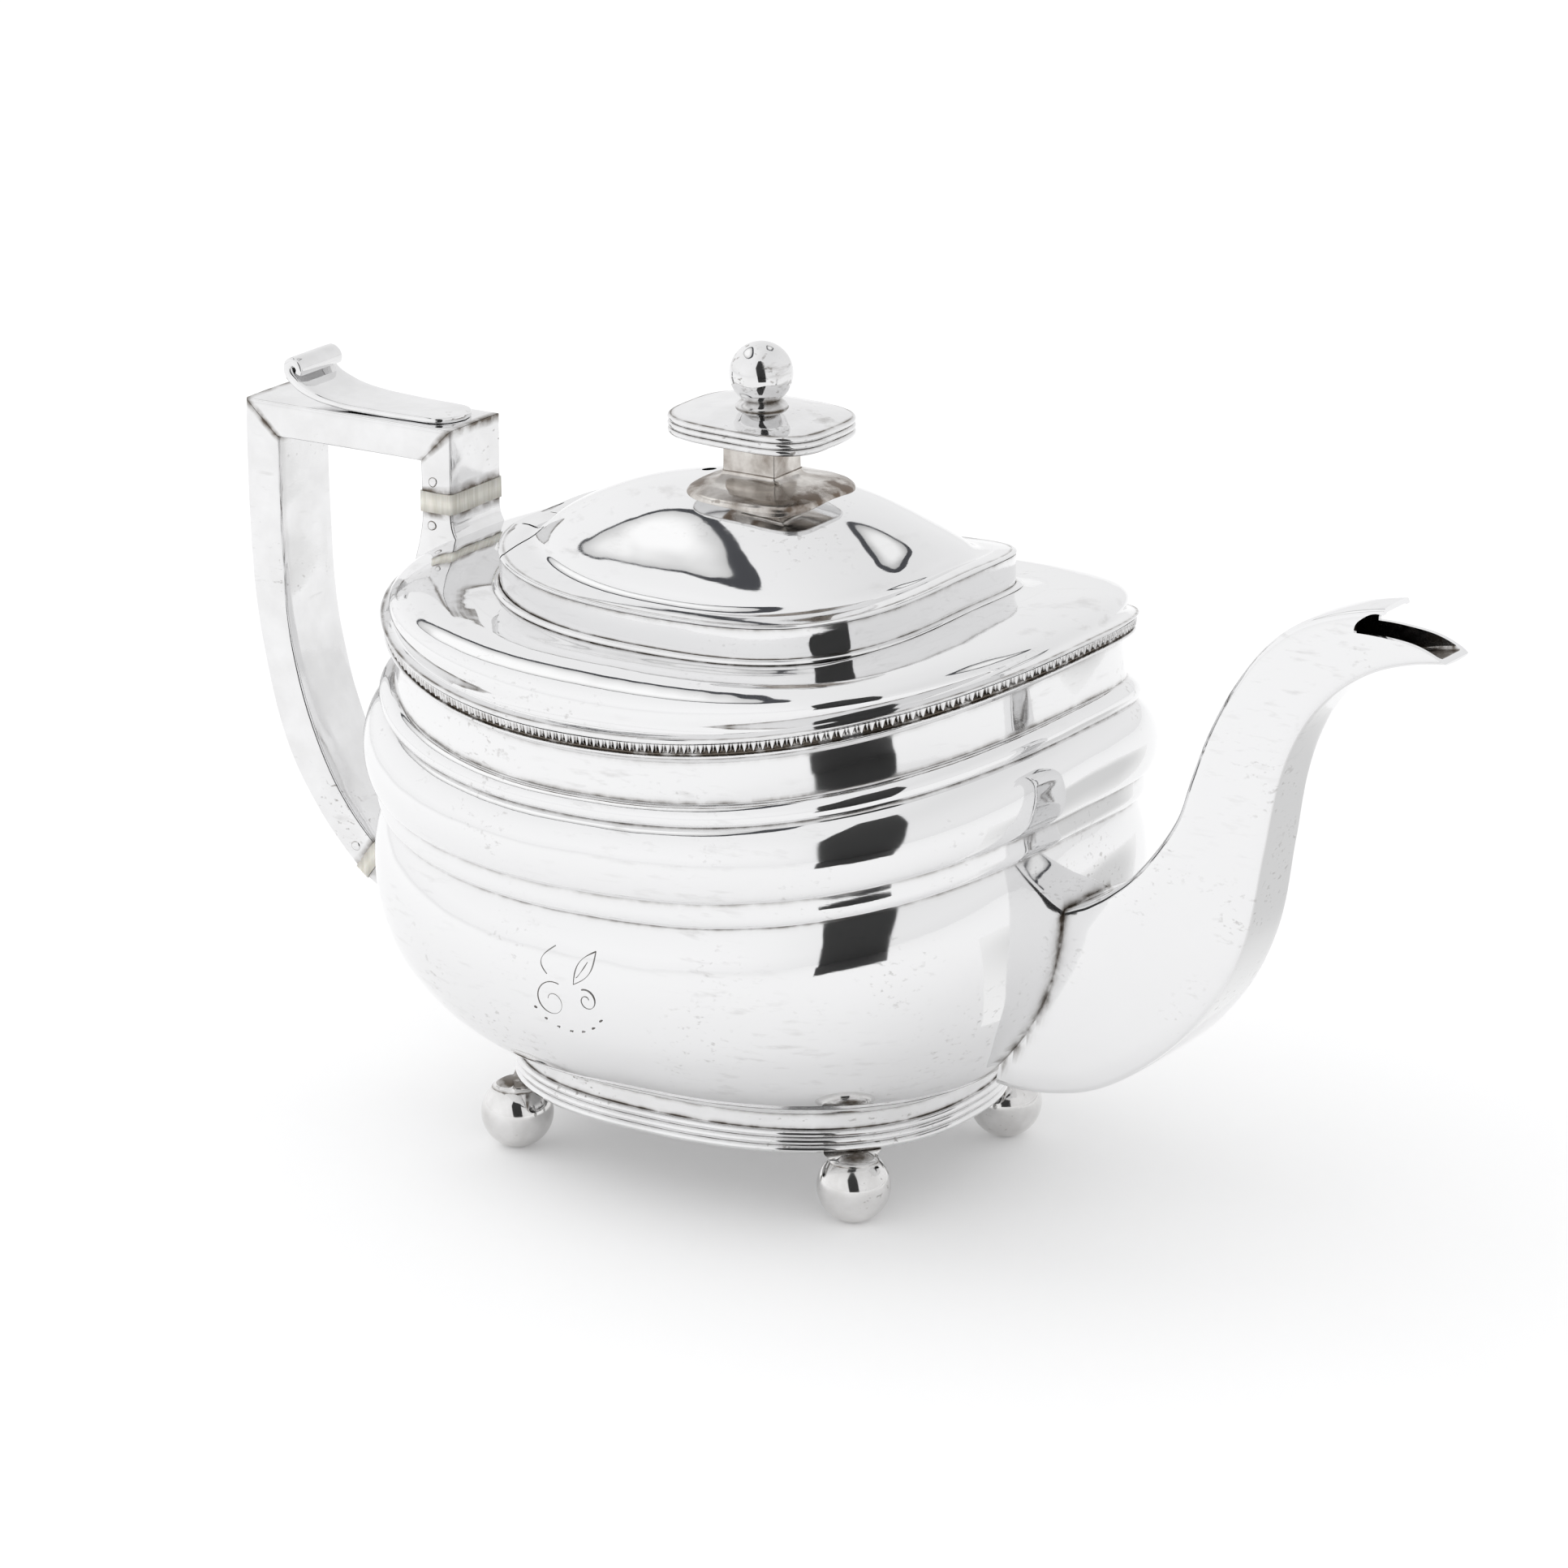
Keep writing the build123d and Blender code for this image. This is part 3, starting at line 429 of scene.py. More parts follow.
def bone_material():
    """Aged bone: warm ivory with fine upright fibres and grey dirt at its edges."""
    material, tree, shader, crease = start_material("aged_bone")
    shader.inputs["Subsurface Weight"].default_value = 0.25
    shader.inputs["Subsurface Radius"].default_value = (0.0012, 0.0008, 0.0005)
    fibres = noise(tree, 1500, 4, (1, 1, 0.06), 0.5)
    cloud = noise(tree, 180, 3, rough=0.5)
    tint = tree.nodes.new("ShaderNodeValToRGB")
    for element, place, colour in zip(tint.color_ramp.elements, (0.32, 0.62),
                                      ((0.66, 0.64, 0.56, 1), (0.86, 0.845, 0.78, 1))):
        element.position = place
        element.color = colour
    tree.links.new(fibres, tint.inputs["Fac"])
    dirt = maths(tree, "MULTIPLY", crease, cloud)
    tree.links.new(blend(tree, dirt, tint.outputs["Color"], (0.22, 0.2, 0.17)), shader.inputs["Base Color"])
    tree.links.new(ramp(tree, cloud, 0.0, 1.0, 0.28, 0.5), shader.inputs["Roughness"])
    tree.links.new(bump(tree, fibres, 0.00003), shader.inputs["Normal"])
    return material


CLEAN = (0.84, 0.84, 0.843)
STAIN = (0.14, 0.12, 0.10)
bright = silver_material("bright_silver", CLEAN, STAIN, spots=0.35)
worn = silver_material("worn_silver", CLEAN, STAIN, spots=0.75, stain_all=0.10)
aged = silver_material("aged_silver", (0.82, 0.815, 0.81), STAIN, spots=0.9, stain_all=0.25, gloss=0.05)
dull = silver_material("tarnished_silver", (0.80, 0.775, 0.74), (0.17, 0.13, 0.10),
                       spots=1.0, stain_all=0.75, gloss=0.07)
cut = silver_material("engraved_cut", (0.36, 0.36, 0.36), (0.16, 0.15, 0.14),
                      spots=1.0, stain_all=0.8, gloss=0.2)
bone = bone_material()

# ---------------------------------------------------------------- body
BELLY = [(SHELL_A, SHELL_Z), (51.0, 22.9), (54.6, 24.6), (59.6, 28.4), (65.2, 34.7), (69.2, 41.0),
         (71.6, 48.0), (72.6, 55.0), (72.4, 60.5), (71.6, 64.5), (70.6, WAIST_Z)]
BODY_RUNS = [
    (levels(*BELLY), 0.5, 0.55),
    (levels(BELLY[-1], (71.7, 67.9), (72.25, 69.0), (72.35, 70.8), (72.4, 72.4)), 0.55, 0.4),
    (levels((72.4, 72.4), (73.5, 73.1), (74.9, 76.5), (75.2, 79.5), (74.6, 83.0), (73.0, 85.8),
            (71.8, 86.7)), 0.4, 0.45),
    (levels((71.8, 86.7), (72.7, 87.6), (72.8, 88.8), (71.8, 90.3), (70.4, 90.9)), 0.45, 0.5),
    (levels((70.4, 90.9), (70.2, 94.0), (70.2, 98.4)), 0.5, 0.2),
    (levels((70.2, 98.4), (71.5, 99.6)), 0.2, 0.8),
]
ROUND = 560  # points round the larger rings
INSET = 0.05  # mm that keeps the hammered belly inside the frame's box
ROOT_HALF, ROOT_UNDER, ROOT_TOP = 8.9, 24, 61.6  # where the spout joins the belly


def make_body():
    """The belly, bands and neck in one wall, with dirt round the spout's root."""
    outer = profile(BODY_RUNS, 0.7)
    lines = closed_section(outer, inner_of(outer, SILVER))
    lines[:, 1] -= INSET
    grid, faces, dark = ring_part(lines, ROUND, 0.035, 11)
    x, y, z = grid[..., 0], np.abs(grid[..., 1]), grid[..., 2]
    sides = 1.1 * np.exp(-np.abs(y - ROOT_HALF) / 0.95) * (x > 0) * (z > ROOT_UNDER) * (z < ROOT_TOP - 0.6)
    top = np.exp(-np.abs(z - ROOT_TOP) / 0.8) * (y < ROOT_HALF) * (x > 0)
    dark = np.clip(np.maximum(dark, np.maximum(sides, top)), 0, 1)
    return dress(make_mesh("belly_and_neck", [(grid, faces, dark)]), bright, "pot", "body_shell")


SCROLL_X, SCROLL_Z = -3.5, 48.2  # the middle of the engraved ornament
CUT = 0.15  # mm, half the width of an engraved line at its widest
PROUD_CUT = 0.04  # mm that the line's middle stands off the surface
BELLY_LINES = hermite(levels(*BELLY), 0.4)[0]


def on_belly(x, z):
    """How far forward the belly stands at a place on its near side, where sheer lowers each line."""
    height = BELLY_LINES[:, 3] - BELLY_LINES[:, 4] / 2
    a, b, power = (np.interp(z, height, BELLY_LINES[:, k]) for k in range(3))
    return -(b - INSET) * (1 - np.abs(x / a) ** power) ** (1 / power)


def engraved(across, up, first, last, phase):
    """A thin dark line lying in the belly's surface, swelling and thinning as a graver cuts."""
    x, z = SCROLL_X + np.asarray(across), SCROLL_Z + np.asarray(up)
    path = np.column_stack((x, on_belly(x, z) - PROUD_CUT, z))
    along = np.gradient(path, axis=0)
    along /= np.linalg.norm(along, axis=1)[:, None]
    out = np.cross(along, (0.0, 1.0, 0.0))
    share = np.linspace(0, 1, len(path))
    width = CUT * (first + (last - first) * share) * (0.72 + 0.28 * np.sin(9 * share + phase))
    turns = np.arange(6) * math.pi / 3
    grid = (path[:, None, :] + (width[:, None] * np.cos(turns))[..., None] * out[:, None, :]
            + (width[:, None] * np.sin(turns))[..., None] * np.array((0.0, 1.0, 0.0)))
    return capped_part(grid, np.full(grid.shape[:2], 0.8))


def make_scroll():
    """A leafy scroll: a large and a small volute, a leaf and an open tendril, and pricked dots."""
    parts = []
    t = np.linspace(0, 1, 60)
    for way, middle, size in ((-1, (-3.2, -3.4), 4.0), (1, (4.6, -2.0), 2.3)):
        turn = 2.0 - 7.9 * t
        reach = size * (1 - 0.75 * t)
        parts.append(engraved(middle[0] + way * reach * np.cos(turn), middle[1] + reach * np.sin(turn),
                              1.0, 0.35, way))
    leaf = np.linspace(0, math.pi, 40)
    for side in (-1, 1):
        parts.append(engraved(1.8 + 4.6 * leaf / math.pi + side * 1.2 * np.sin(leaf),
                              0.8 + 7.0 * leaf / math.pi - side * 0.8 * np.sin(leaf), 0.5, 1.0, side))
    parts.append(engraved(-2.6 - 3.0 * np.sin(2.6 * t), 7.4 - 5.6 * t, 0.8, 0.5, 0.5))
    parts.append(engraved(2.4 + 2.4 * t, 2.2 + 3.4 * t**1.2, 0.4, 0.8, 1.5))
    for k in range(-3, 4):
        swing = k * 0.32
        x, z = 9.0 * math.sin(swing), -0.6 - 8.6 * math.cos(swing)
        parts.append(engraved([x - 0.28, x, x + 0.28], [z - 0.05 * k, z, z + 0.05 * k], 1.5, 1.5, k))
    return dress(make_mesh("engraved_scroll", parts), cut, "pot")


def make_collar():
    """The foot ring: three reeds, then a plain upright band."""
    reed = 1.5
    runs = []
    for k in range(3):
        foot = FOOT_Z + reed * k
        runs.append((levels((46.8, foot), (47.5, foot + 0.22), (47.8, foot + 0.75), (47.5, foot + 1.28),
                            (46.8, foot + reed)), 0.9, 0.9))
    runs.append((levels((46.8, 17.8), (46.95, 19.4), (47.1, 21.0)), 0.9, 0.8))
    runs.append((levels((47.1, 21.0), (47.8, 21.15), (48.1, 21.6), (48.35, 22.35)), 0.8, 0.6))
    outer = profile(runs, 0.35)
    inner = np.array([(*level(46.0, 22.35), 0.2), (*level(45.4, FOOT_Z), 0.2)])
    lines = np.vstack((outer, inner))
    return dress(make_mesh("reeded_collar", [ring_part(lines, ROUND, 0.02, 21)]), worn, "pot", "foot_collar")


# ---------------------------------------------------------------- lobed border
LOBES = 236
LOBE_STEPS = 16
LOBE_TOP, LOBE_TIP, WIRE_TOP = 2.85, 1.05, 0.66  # mm above the rim's underside


def petal(phase, middle, half_width):
    """How far a place is from a petal's edges: 1 in its middle, 0 at its edges and beyond."""
    if half_width <= 0:
        return np.zeros_like(phase)
    away = np.abs(np.mod(phase - middle + 0.5, 1.0) - 0.5) / half_width
    return np.sqrt(np.clip(1 - away**2, 0, 1))


def make_border():
    """A row of petals pointing down, wide and narrow in turn, over a dark groove and a fine wire."""
    steps = LOBE_STEPS * LOBES
    phi = np.arange(steps) * 2 * math.pi / steps
    phase = np.arange(steps) / LOBE_STEPS
    outward = np.stack((np.cos(phi), np.sin(phi), np.zeros_like(phi)), axis=-1)
    base = around(np.array([(*level(RIM_A, RIM_Z), 0.0)]), steps)[0]
    rows = []

    def row(up, inset, shade):
        rows.append((base + (0, 0, up) - outward * np.broadcast_to(inset, (steps,))[:, None],
                     np.broadcast_to(np.asarray(shade, float), (steps,))))

    for t in (0.0, 0.16, 0.32, 0.48, 0.62, 0.75, 0.86, 0.95, 1.0):
        wide = petal(phase, 0.33, 0.34 * max(0.0, 1 - t**2.6) ** 0.75)
        narrow = petal(phase, 0.84, 0.135 * (1 - (t / 0.9) ** 2.4) ** 0.75 if t < 0.9 else 0.0)
        crown = np.maximum(wide, narrow) if t else np.ones(steps)
        depth = 0.75 * min(1.0, 0.25 + 1.6 * t)
        row(LOBE_TOP + (LOBE_TIP - LOBE_TOP) * t, 0.12 + 0.22 * t**2 + depth * (1 - crown),
            0.95 * (1 - crown) ** 0.6 * min(1, 3 * t))
    row(LOBE_TIP - 0.14, 0.95, 0.95)
    row(WIRE_TOP + 0.03, 0.98, 0.95)
    for up, inset, shade in ((WIRE_TOP, 0.7, 0.7), (0.6, 0.38, 0.1), (0.46, 0.2, 0.0), (0.28, 0.2, 0.0),
                             (0.12, 0.34, 0.1), (0.0, 0.75, 0.8)):
        row(up, inset, shade)
    row(0.0, 2.4, 0.4)
    row(LOBE_TOP, 2.4, 0.4)
    grid = np.stack([points for points, _ in rows])
    dark = np.stack([shade for _, shade in rows])
    piece = make_mesh("lobed_border", [(grid, grid_faces(len(rows), steps), dark)], sharp=55)
    return dress(piece, worn, "pot", "gadroon_border")


# ---------------------------------------------------------------- shoulder and gallery
def make_shoulder():
    """The top of the body: an edge, a step, a swell and a flat strip round the gallery."""
    runs = [
        (levels((72.5, 102.68), (72.86, 102.85), (72.92, 103.12), (72.7, 103.42), (72.2, 103.55)), 0.3, 0.7),
        (levels((72.2, 103.55), (71.2, 103.62), (70.1, 103.95), (69.35, 104.7), (68.7, 105.9),
                (67.7, 107.2), (66.0, 108.5), (63.4, 109.6), (60.0, 110.35), (57.0, 110.5), (54.2, 110.35),
                (52.6, 110.2)), 0.6, 0.0),
        (levels((52.6, 110.2), (50.6, 110.1), (47.6, 110.25)), 0.2, 0.9),
    ]
    outer = profile(runs, 0.7)
    under = [(45.7, 110.25), (45.7, 109.3), (51.0, 109.1), (57.0, 109.6), (59.6, 109.4), (62.6, 108.4),
             (65.2, 107.0), (67.0, 105.2), (70.4, 102.68)]
    lines = np.vstack((outer, np.array([(*level(a, z), 0.2) for a, z in under])))
    return dress(make_mesh("shoulder", [ring_part(lines, ROUND, 0.04, 31)]), bright, "pot", "shoulder_cover")


def make_gallery():
    outer = profile([(levels((46.55, 110.5), (46.5, 116.8)), 0.9, 0.5)], 0.5)
    wall = ring_part(closed_section(outer, inner_of(outer, SILVER, 2)), ROUND, 0.015, 41)
    round_wire = levels((46.5, 110.1), (47.5, 110.15), (47.8, 110.5), (47.45, 110.9), (46.5, 111.05))
    bead = ring_part(profile([(round_wire, 0.9, 0.9)], 0.25), ROUND, 0.012, 43)
    dress(make_mesh("gallery_wall", [wall]), bright, "pot", "gallery")
    return dress(make_mesh("gallery_foot_bead", [bead]), worn, "pot", "gallery_bead")


# ---------------------------------------------------------------- lid
DOME = [
    (41.9, 31.7, 2.75, 117.85, 4.9, 0), (41.2, 31.0, 2.65, 118.3, 4.75, 0), (40.2, 30.1, 2.5, 119.6, 4.3, 0),
    (38.2, 28.4, 2.32, 121.5, 3.4, 0), (35.2, 26.1, 2.15, 123.6, 2.5, 0), (31.5, 23.4, 2.05, 125.7, 1.6, 0),
    (26.0, 19.4, 2.0, 128.1, 0.8, 0), (18.5, 14.0, 2.0, 130.2, 0.2, 0), (10.0, 7.6, 2.0, 131.5, 0, 0),
    (3.2, 3.2, 2.0, 131.95, 0, 0)]
SHEET = 1.2  # thickness of the lid
HINGE_X, HINGE_Z = -42.4, 118.75
LEAF_X, TONGUE, RUN, BARREL_GAP = -39.0, 14.0, 0.3, 2.4
REAR, WIDE, TALL = -60.0, 60.0, 9  # how far the cutting blocks reach
VENT_X, VENT_Y, VENT_R = -12.6, 3.0, 1.4


def lid_blank(name):
    """The whole top, flange and dome, from which the lid and the fixed hinge leaves are cut."""
    runs = [
        (levels((46.2, 116.85), (46.62, 116.95), (46.68, 117.2), (46.4, 117.45), (45.9, 117.5)), 0.6, 0.1),
        (levels((45.9, 117.5), (45.78, 117.42), (45.66, 117.5)), 0.35, 0.35),
        (levels((45.66, 117.5), (43.4, 117.66)) + DOME, 0.05, 0.0),
    ]
    outer = profile(runs, 0.7)
    under = [(*line[:3], line[3] - SHEET, *line[4:], 0.2) for line in DOME[::-1]]
    under.append((*level(44.5, 116.5), 0.2))
    return make_mesh(name, [ring_part(np.vstack((outer, np.array(under))), 480, 0.028, 51)])


def tall_outline(front, back):
    return [(front, HINGE_Z - TALL), (front, HINGE_Z + TALL), (back, HINGE_Z + TALL), (back, HINGE_Z - TALL)]


def block(name, front, back, half_width):
    """A tall block over the hinge, between two places along the pot."""
    return prism(name, tall_outline(front, back), -half_width, half_width)


def lathe_part(rows, count, centre, dark=0.0, amount=0.0, seed=1):
    """A body of revolution about a vertical line, from (radius, height) rows."""
    phi = np.arange(count) * 2 * math.pi / count
    rows = np.array(rows, float)
    grid = np.stack((rows[:, 0][:, None] * np.cos(phi), rows[:, 0][:, None] * np.sin(phi),
                     np.repeat(rows[:, 1][:, None], count, axis=1)), axis=-1) + np.array(centre)
    shade = np.broadcast_to(np.reshape(dark, (-1, 1)), (len(rows), count))
    return capped_part(grid, shade, amount, seed)


POLE = 0.02  # mm, the smallest radius, where a turned piece closes


def ball_rows(radius, middle, first, last, count=60):
    """Rows of a ball for lathe_part, between two angles above its middle."""
    return [(max(radius * math.cos(t), POLE), middle + radius * math.sin(t))
            for t in np.linspace(first, last, count)]


def make_lid():
    cover = lid_blank("lid_dome")
    side_gap = TONGUE - RUN / 2
    front = LEAF_X + RUN
    boolean(cover, block("cut_back", HINGE_X + BARREL_GAP, REAR, WIDE), "DIFFERENCE")
    for side in (-1, 1):
        ends = sorted((side * side_gap, side * WIDE))
        boolean(cover, prism("cut_side", tall_outline(front, REAR), *ends), "DIFFERENCE")
    vent = [(VENT_R, 120.0), (VENT_R, 140.0)]
    boolean(cover, make_mesh("vent", [lathe_part(vent, 40, (VENT_X, VENT_Y, 0))]), "DIFFERENCE")
    dress(cover, bright, "lid", "lid_cover")

    plate = lid_blank("hinge_leaves")
    boolean(plate, block("keep_back", LEAF_X, REAR, WIDE), "INTERSECT")
    boolean(plate, block("cut_tongue", LEAF_X + 1, HINGE_X - BARREL_GAP, TONGUE + RUN / 2), "DIFFERENCE")
    # Room for the top edge of the lid's tongue as it swings over.
    relief = [(HINGE_X - 1.0, HINGE_Z + 0.5), (HINGE_X - 4.4, HINGE_Z + 1.0),
              (HINGE_X - 4.6, HINGE_Z + TALL), (HINGE_X - 1.0, HINGE_Z + TALL)]
    boolean(plate, prism("relief", relief, -TONGUE - RUN / 2, TONGUE + RUN / 2), "DIFFERENCE")
    return dress(plate, bright, "pot", "hinge_plate")


# ---------------------------------------------------------------- finial
FINIAL_X, FOOT_SHIFT = 1.3, 1.9  # the foot reaches further towards the spout than the rest
FOOT_REACH, FOOT_STEM = 14.3, 6.0  # its half length at the edge and at the stem
STEM_A, STEM_B = 5.9, 4.7
PLATE_X, PLATE_Y, PLATE_N, PLATE_UNDER, PLATE_TOP = 16.6, 13.7, 3.3, 140.9, 144.6
PLATE_TILT = -0.35
KNOB_R, KNOB_Z = 6.05, 152.42


def make_finial_foot():
    outer = profile([
        ([flat_line(13.4, 13.4, 3.0, 129.2), flat_line(FOOT_REACH, 14.2, 3.0, 129.8),
          flat_line(FOOT_REACH, 14.2, 3.0, 130.3), flat_line(14.0, 13.8, 3.0, 130.85),
          flat_line(13.0, 12.7, 3.05, 131.45), flat_line(11.2, 10.6, 3.4, 131.95),
          flat_line(9.0, 7.9, 4.5, 132.35), flat_line(7.0, 5.8, 9.0, 132.85),
          flat_line(6.1, 4.95, 16.0, 134.0)], 0.9, 0.9)], 0.35)
    inner = np.array([(*flat_line(3.5, 3.2, 4.0, 134.0), 0.3), (*flat_line(3.4, 3.2, 3.0, 129.0), 0.3)])
    lines = np.vstack((outer, inner))
    grid, faces, dark = ring_part(lines, 300, 0.03, 61, (FINIAL_X, 0, 0))
    reach = np.clip((lines[:, 0] - FOOT_STEM) / (FOOT_REACH - FOOT_STEM), 0, 1)
    grid = grid + reach[:, None, None] * np.array((FOOT_SHIFT, 0, 0))
    from_middle = np.abs(grid[..., 0] - FINIAL_X - FOOT_SHIFT)
    dark = np.maximum(dark, 0.85 * np.clip((from_middle - 4.5) / 7.0, 0, 1))
    return dress(make_mesh("finial_dished_foot", [(grid, faces, dark)]), dull, "lid", "finial_foot",
                 slot="tarnished_silver")


def make_finial():
    shift = (FINIAL_X, 0, 0)
    make_finial_foot()
    sides = [flat_line(STEM_A - less, STEM_B - less, 20.0, z)
             for less, z in ((0, 133.7), (0.05, 137.0), (0, 141.1))]
    wall = profile([(sides, 0.9, 0.9)], 0.4)
    stem = ring_part(closed_section(wall, inner_of(wall, 1.0)), 400, 0.02, 63, shift)
    dress(make_mesh("finial_square_stem", [stem]), dull, "lid", "finial_stem", slot="tarnished_silver")
    reed = (PLATE_TOP - PLATE_UNDER) / 3

    def plate_line(inset, z, power=PLATE_N):
        left = 1 - inset / PLATE_X
        return (PLATE_X - inset, PLATE_Y - inset * PLATE_Y / PLATE_X, power, z, 0.0, PLATE_TILT * left)

    runs = [([plate_line(PLATE_X - 1.4, PLATE_UNDER, 2.5), plate_line(1.4, PLATE_UNDER + 0.05),
              plate_line(0.5, PLATE_UNDER)], 0.0, 0.5)]
    for k in range(3):
        low = PLATE_UNDER + k * reed
        ridge = ((0, 0.6), (0.2, 0.12), (0.5, 0.0), (0.8, 0.12), (1, 0.6))
        runs.append(([plate_line(inset, low + share * reed) for share, inset in ridge], 0.95, 0.95))
    runs.append(([plate_line(0.6, PLATE_TOP), plate_line(3.6, PLATE_TOP + 0.5),
                  plate_line(7.6, PLATE_TOP + 0.95, 3.0), plate_line(11.2, PLATE_TOP + 1.35, 2.5),
                  plate_line(PLATE_X - 1.4, PLATE_TOP + 1.6, 2.2)], 0.9, 0.0))
    dress(make_mesh("finial_reeded_plate", [ring_part(profile(runs, 0.35), 360, 0.03, 65, shift)]),
          worn, "lid", "finial_plate")
    base = PLATE_TOP + 1.0
    neck = [(POLE, base - 0.4), (5.6, base - 0.4), (5.35, base + 0.15), (4.95, base + 0.35),
            (4.95, base + 0.75), (4.5, base + 1.25), (3.75, base + 1.7), (3.4, base + 2.0),
            (3.65, base + 2.15), (3.7, base + 2.35), (3.45, base + 2.5)]
    dark = [0, 0.7, 0.9, 0.8, 0.3, 0.3, 0.6, 0.9, 0.7, 0.5, 0.9]
    ball = ball_rows(KNOB_R, KNOB_Z, -math.acos(3.3 / KNOB_R), math.pi / 2)
    ball_dark = [0.9, 0.5, 0.3, 0.15] + [0.0] * (len(ball) - 4)
    part = lathe_part(neck + ball, 160, shift, dark + ball_dark, 0.012, 67)
    return dress(make_mesh("finial_knob", [part]), worn, "lid", "finial_ball")


# ---------------------------------------------------------------- square tubes: spout and handle
def rounded_section(half_high, half_wide, corner, bow, per_side=9, per_corner=5):
    """Points of a rounded oblong, anticlockwise, with sides that bow out a little."""
    out = []
    quarters = ((1, 1), (-1, 1), (-1, -1), (1, -1))
    for k, (sx, sy) in enumerate(quarters):
        cx, cy = sx * (half_high - corner), sy * (half_wide - corner)
        start = k * math.pi / 2
        for step in range(per_corner):
            angle = start + math.pi / 2 * step / (per_corner - 1)
            out.append((cx + corner * math.cos(angle), cy + corner * math.sin(angle)))
        nx, ny = quarters[(k + 1) % 4]
        ex, ey = nx * (half_high - corner), ny * (half_wide - corner)
        angle = start + math.pi / 2
        lead = np.array((cx + corner * math.cos(angle), cy + corner * math.sin(angle)))
        last = np.array((ex + corner * math.cos(angle), ey + corner * math.sin(angle)))
        for step in range(1, per_side):
            t = step / per_side
            swell = bow * 4 * t * (1 - t)
            out.append(tuple(lead + (last - lead) * t + np.array((math.cos(angle), math.sin(angle))) * swell))
    return np.array(out)


def square_grid(sections, corner, bow=0.0, step=1.2):
    """Rows of points along a square tube. A section is its outer point and inner point in the
    plane through the spout and handle, and its half width: (ox, oz, ix, iz, w)."""
    grid = []
    for ox, oz, ix, iz, w in hermite(sections, step)[0]:
        middle = np.array(((ox + ix) / 2, 0.0, (oz + iz) / 2))
        run = np.array((ox - ix, 0.0, oz - iz))
        half = np.linalg.norm(run) / 2
        run /= 2 * half
        flat = rounded_section(half, w, corner, bow)
        grid.append(middle + flat[:, :1] * run + flat[:, 1:] * np.array((0, 1.0, 0)))
    return np.array(grid)


def end_tarnish(grid, first, last, reach=2):
    """Tarnish in the first and last rows of a tube, fading over `reach` rows."""
    dark = np.zeros(grid.shape[:2])
    for k in range(reach):
        dark[k] = max(0.0, first * (1 - k / reach))
        dark[-1 - k] = max(0.0, last * (1 - k / reach))
    return dark


SPOUT = [
    (66.0, 60.6, 58.0, 25.0, 8.8), (75.2, 62.9, 75.5, 26.3, 8.5), (84.4, 68.6, 91.8, 35.6, 8.1),
    (90.5, 75.2, 103.0, 47.5, 7.6), (95.2, 82.5, 109.6, 60.8, 7.2), (98.2, 91.5, 113.3, 78.7, 6.9),
    (101.5, 100.3, 115.6, 91.1, 6.6), (106.3, 109.5, 118.5, 99.7, 6.2), (112.5, 118.0, 122.7, 106.9, 5.8),
    (119.5, 123.4, 127.7, 112.0, 5.4), (127.5, 126.6, 133.0, 115.6, 5.1), (136.5, 128.7, 139.0, 118.0, 4.9),
    (150.0, 130.0, 150.0, 119.9, 4.8)]
SPOUT_REACH = 148.7
SPOUT_WALL = 0.95


def inset_sections(sections, wall):
    """The sections of a tube's bore."""
    out = []
    for ox, oz, ix, iz, w in sections:
        length = math.hypot(ox - ix, oz - iz)
        dx, dz = (ox - ix) / length * wall, (oz - iz) / length * wall
        out.append((ox - dx, oz - dz, ix + dx, iz + dz, w - wall))
    return out


def curve_points(points, step):
    return [tuple(point) for point in hermite(points, step)[0]]


# The height at which each of the belly's lines meets the spout.
BELLY_END_Z = BELLY_LINES[:, 3] + BELLY_LINES[:, 4] / 2 + BELLY_LINES[:, 5]
ROOT_FADE = 0.6  # mm over which the dirt in the spout's joint fades


def beyond_body(points):
    """About how far outside the belly each point stands, in mm."""
    a, b, power = (np.interp(points[..., 2], BELLY_END_Z, BELLY_LINES[:, k]) for k in range(3))
    size = ((np.abs(points[..., 0]) / a) ** power + (np.abs(points[..., 1]) / b) ** power) ** (1 / power)
    return (size - 1) * a


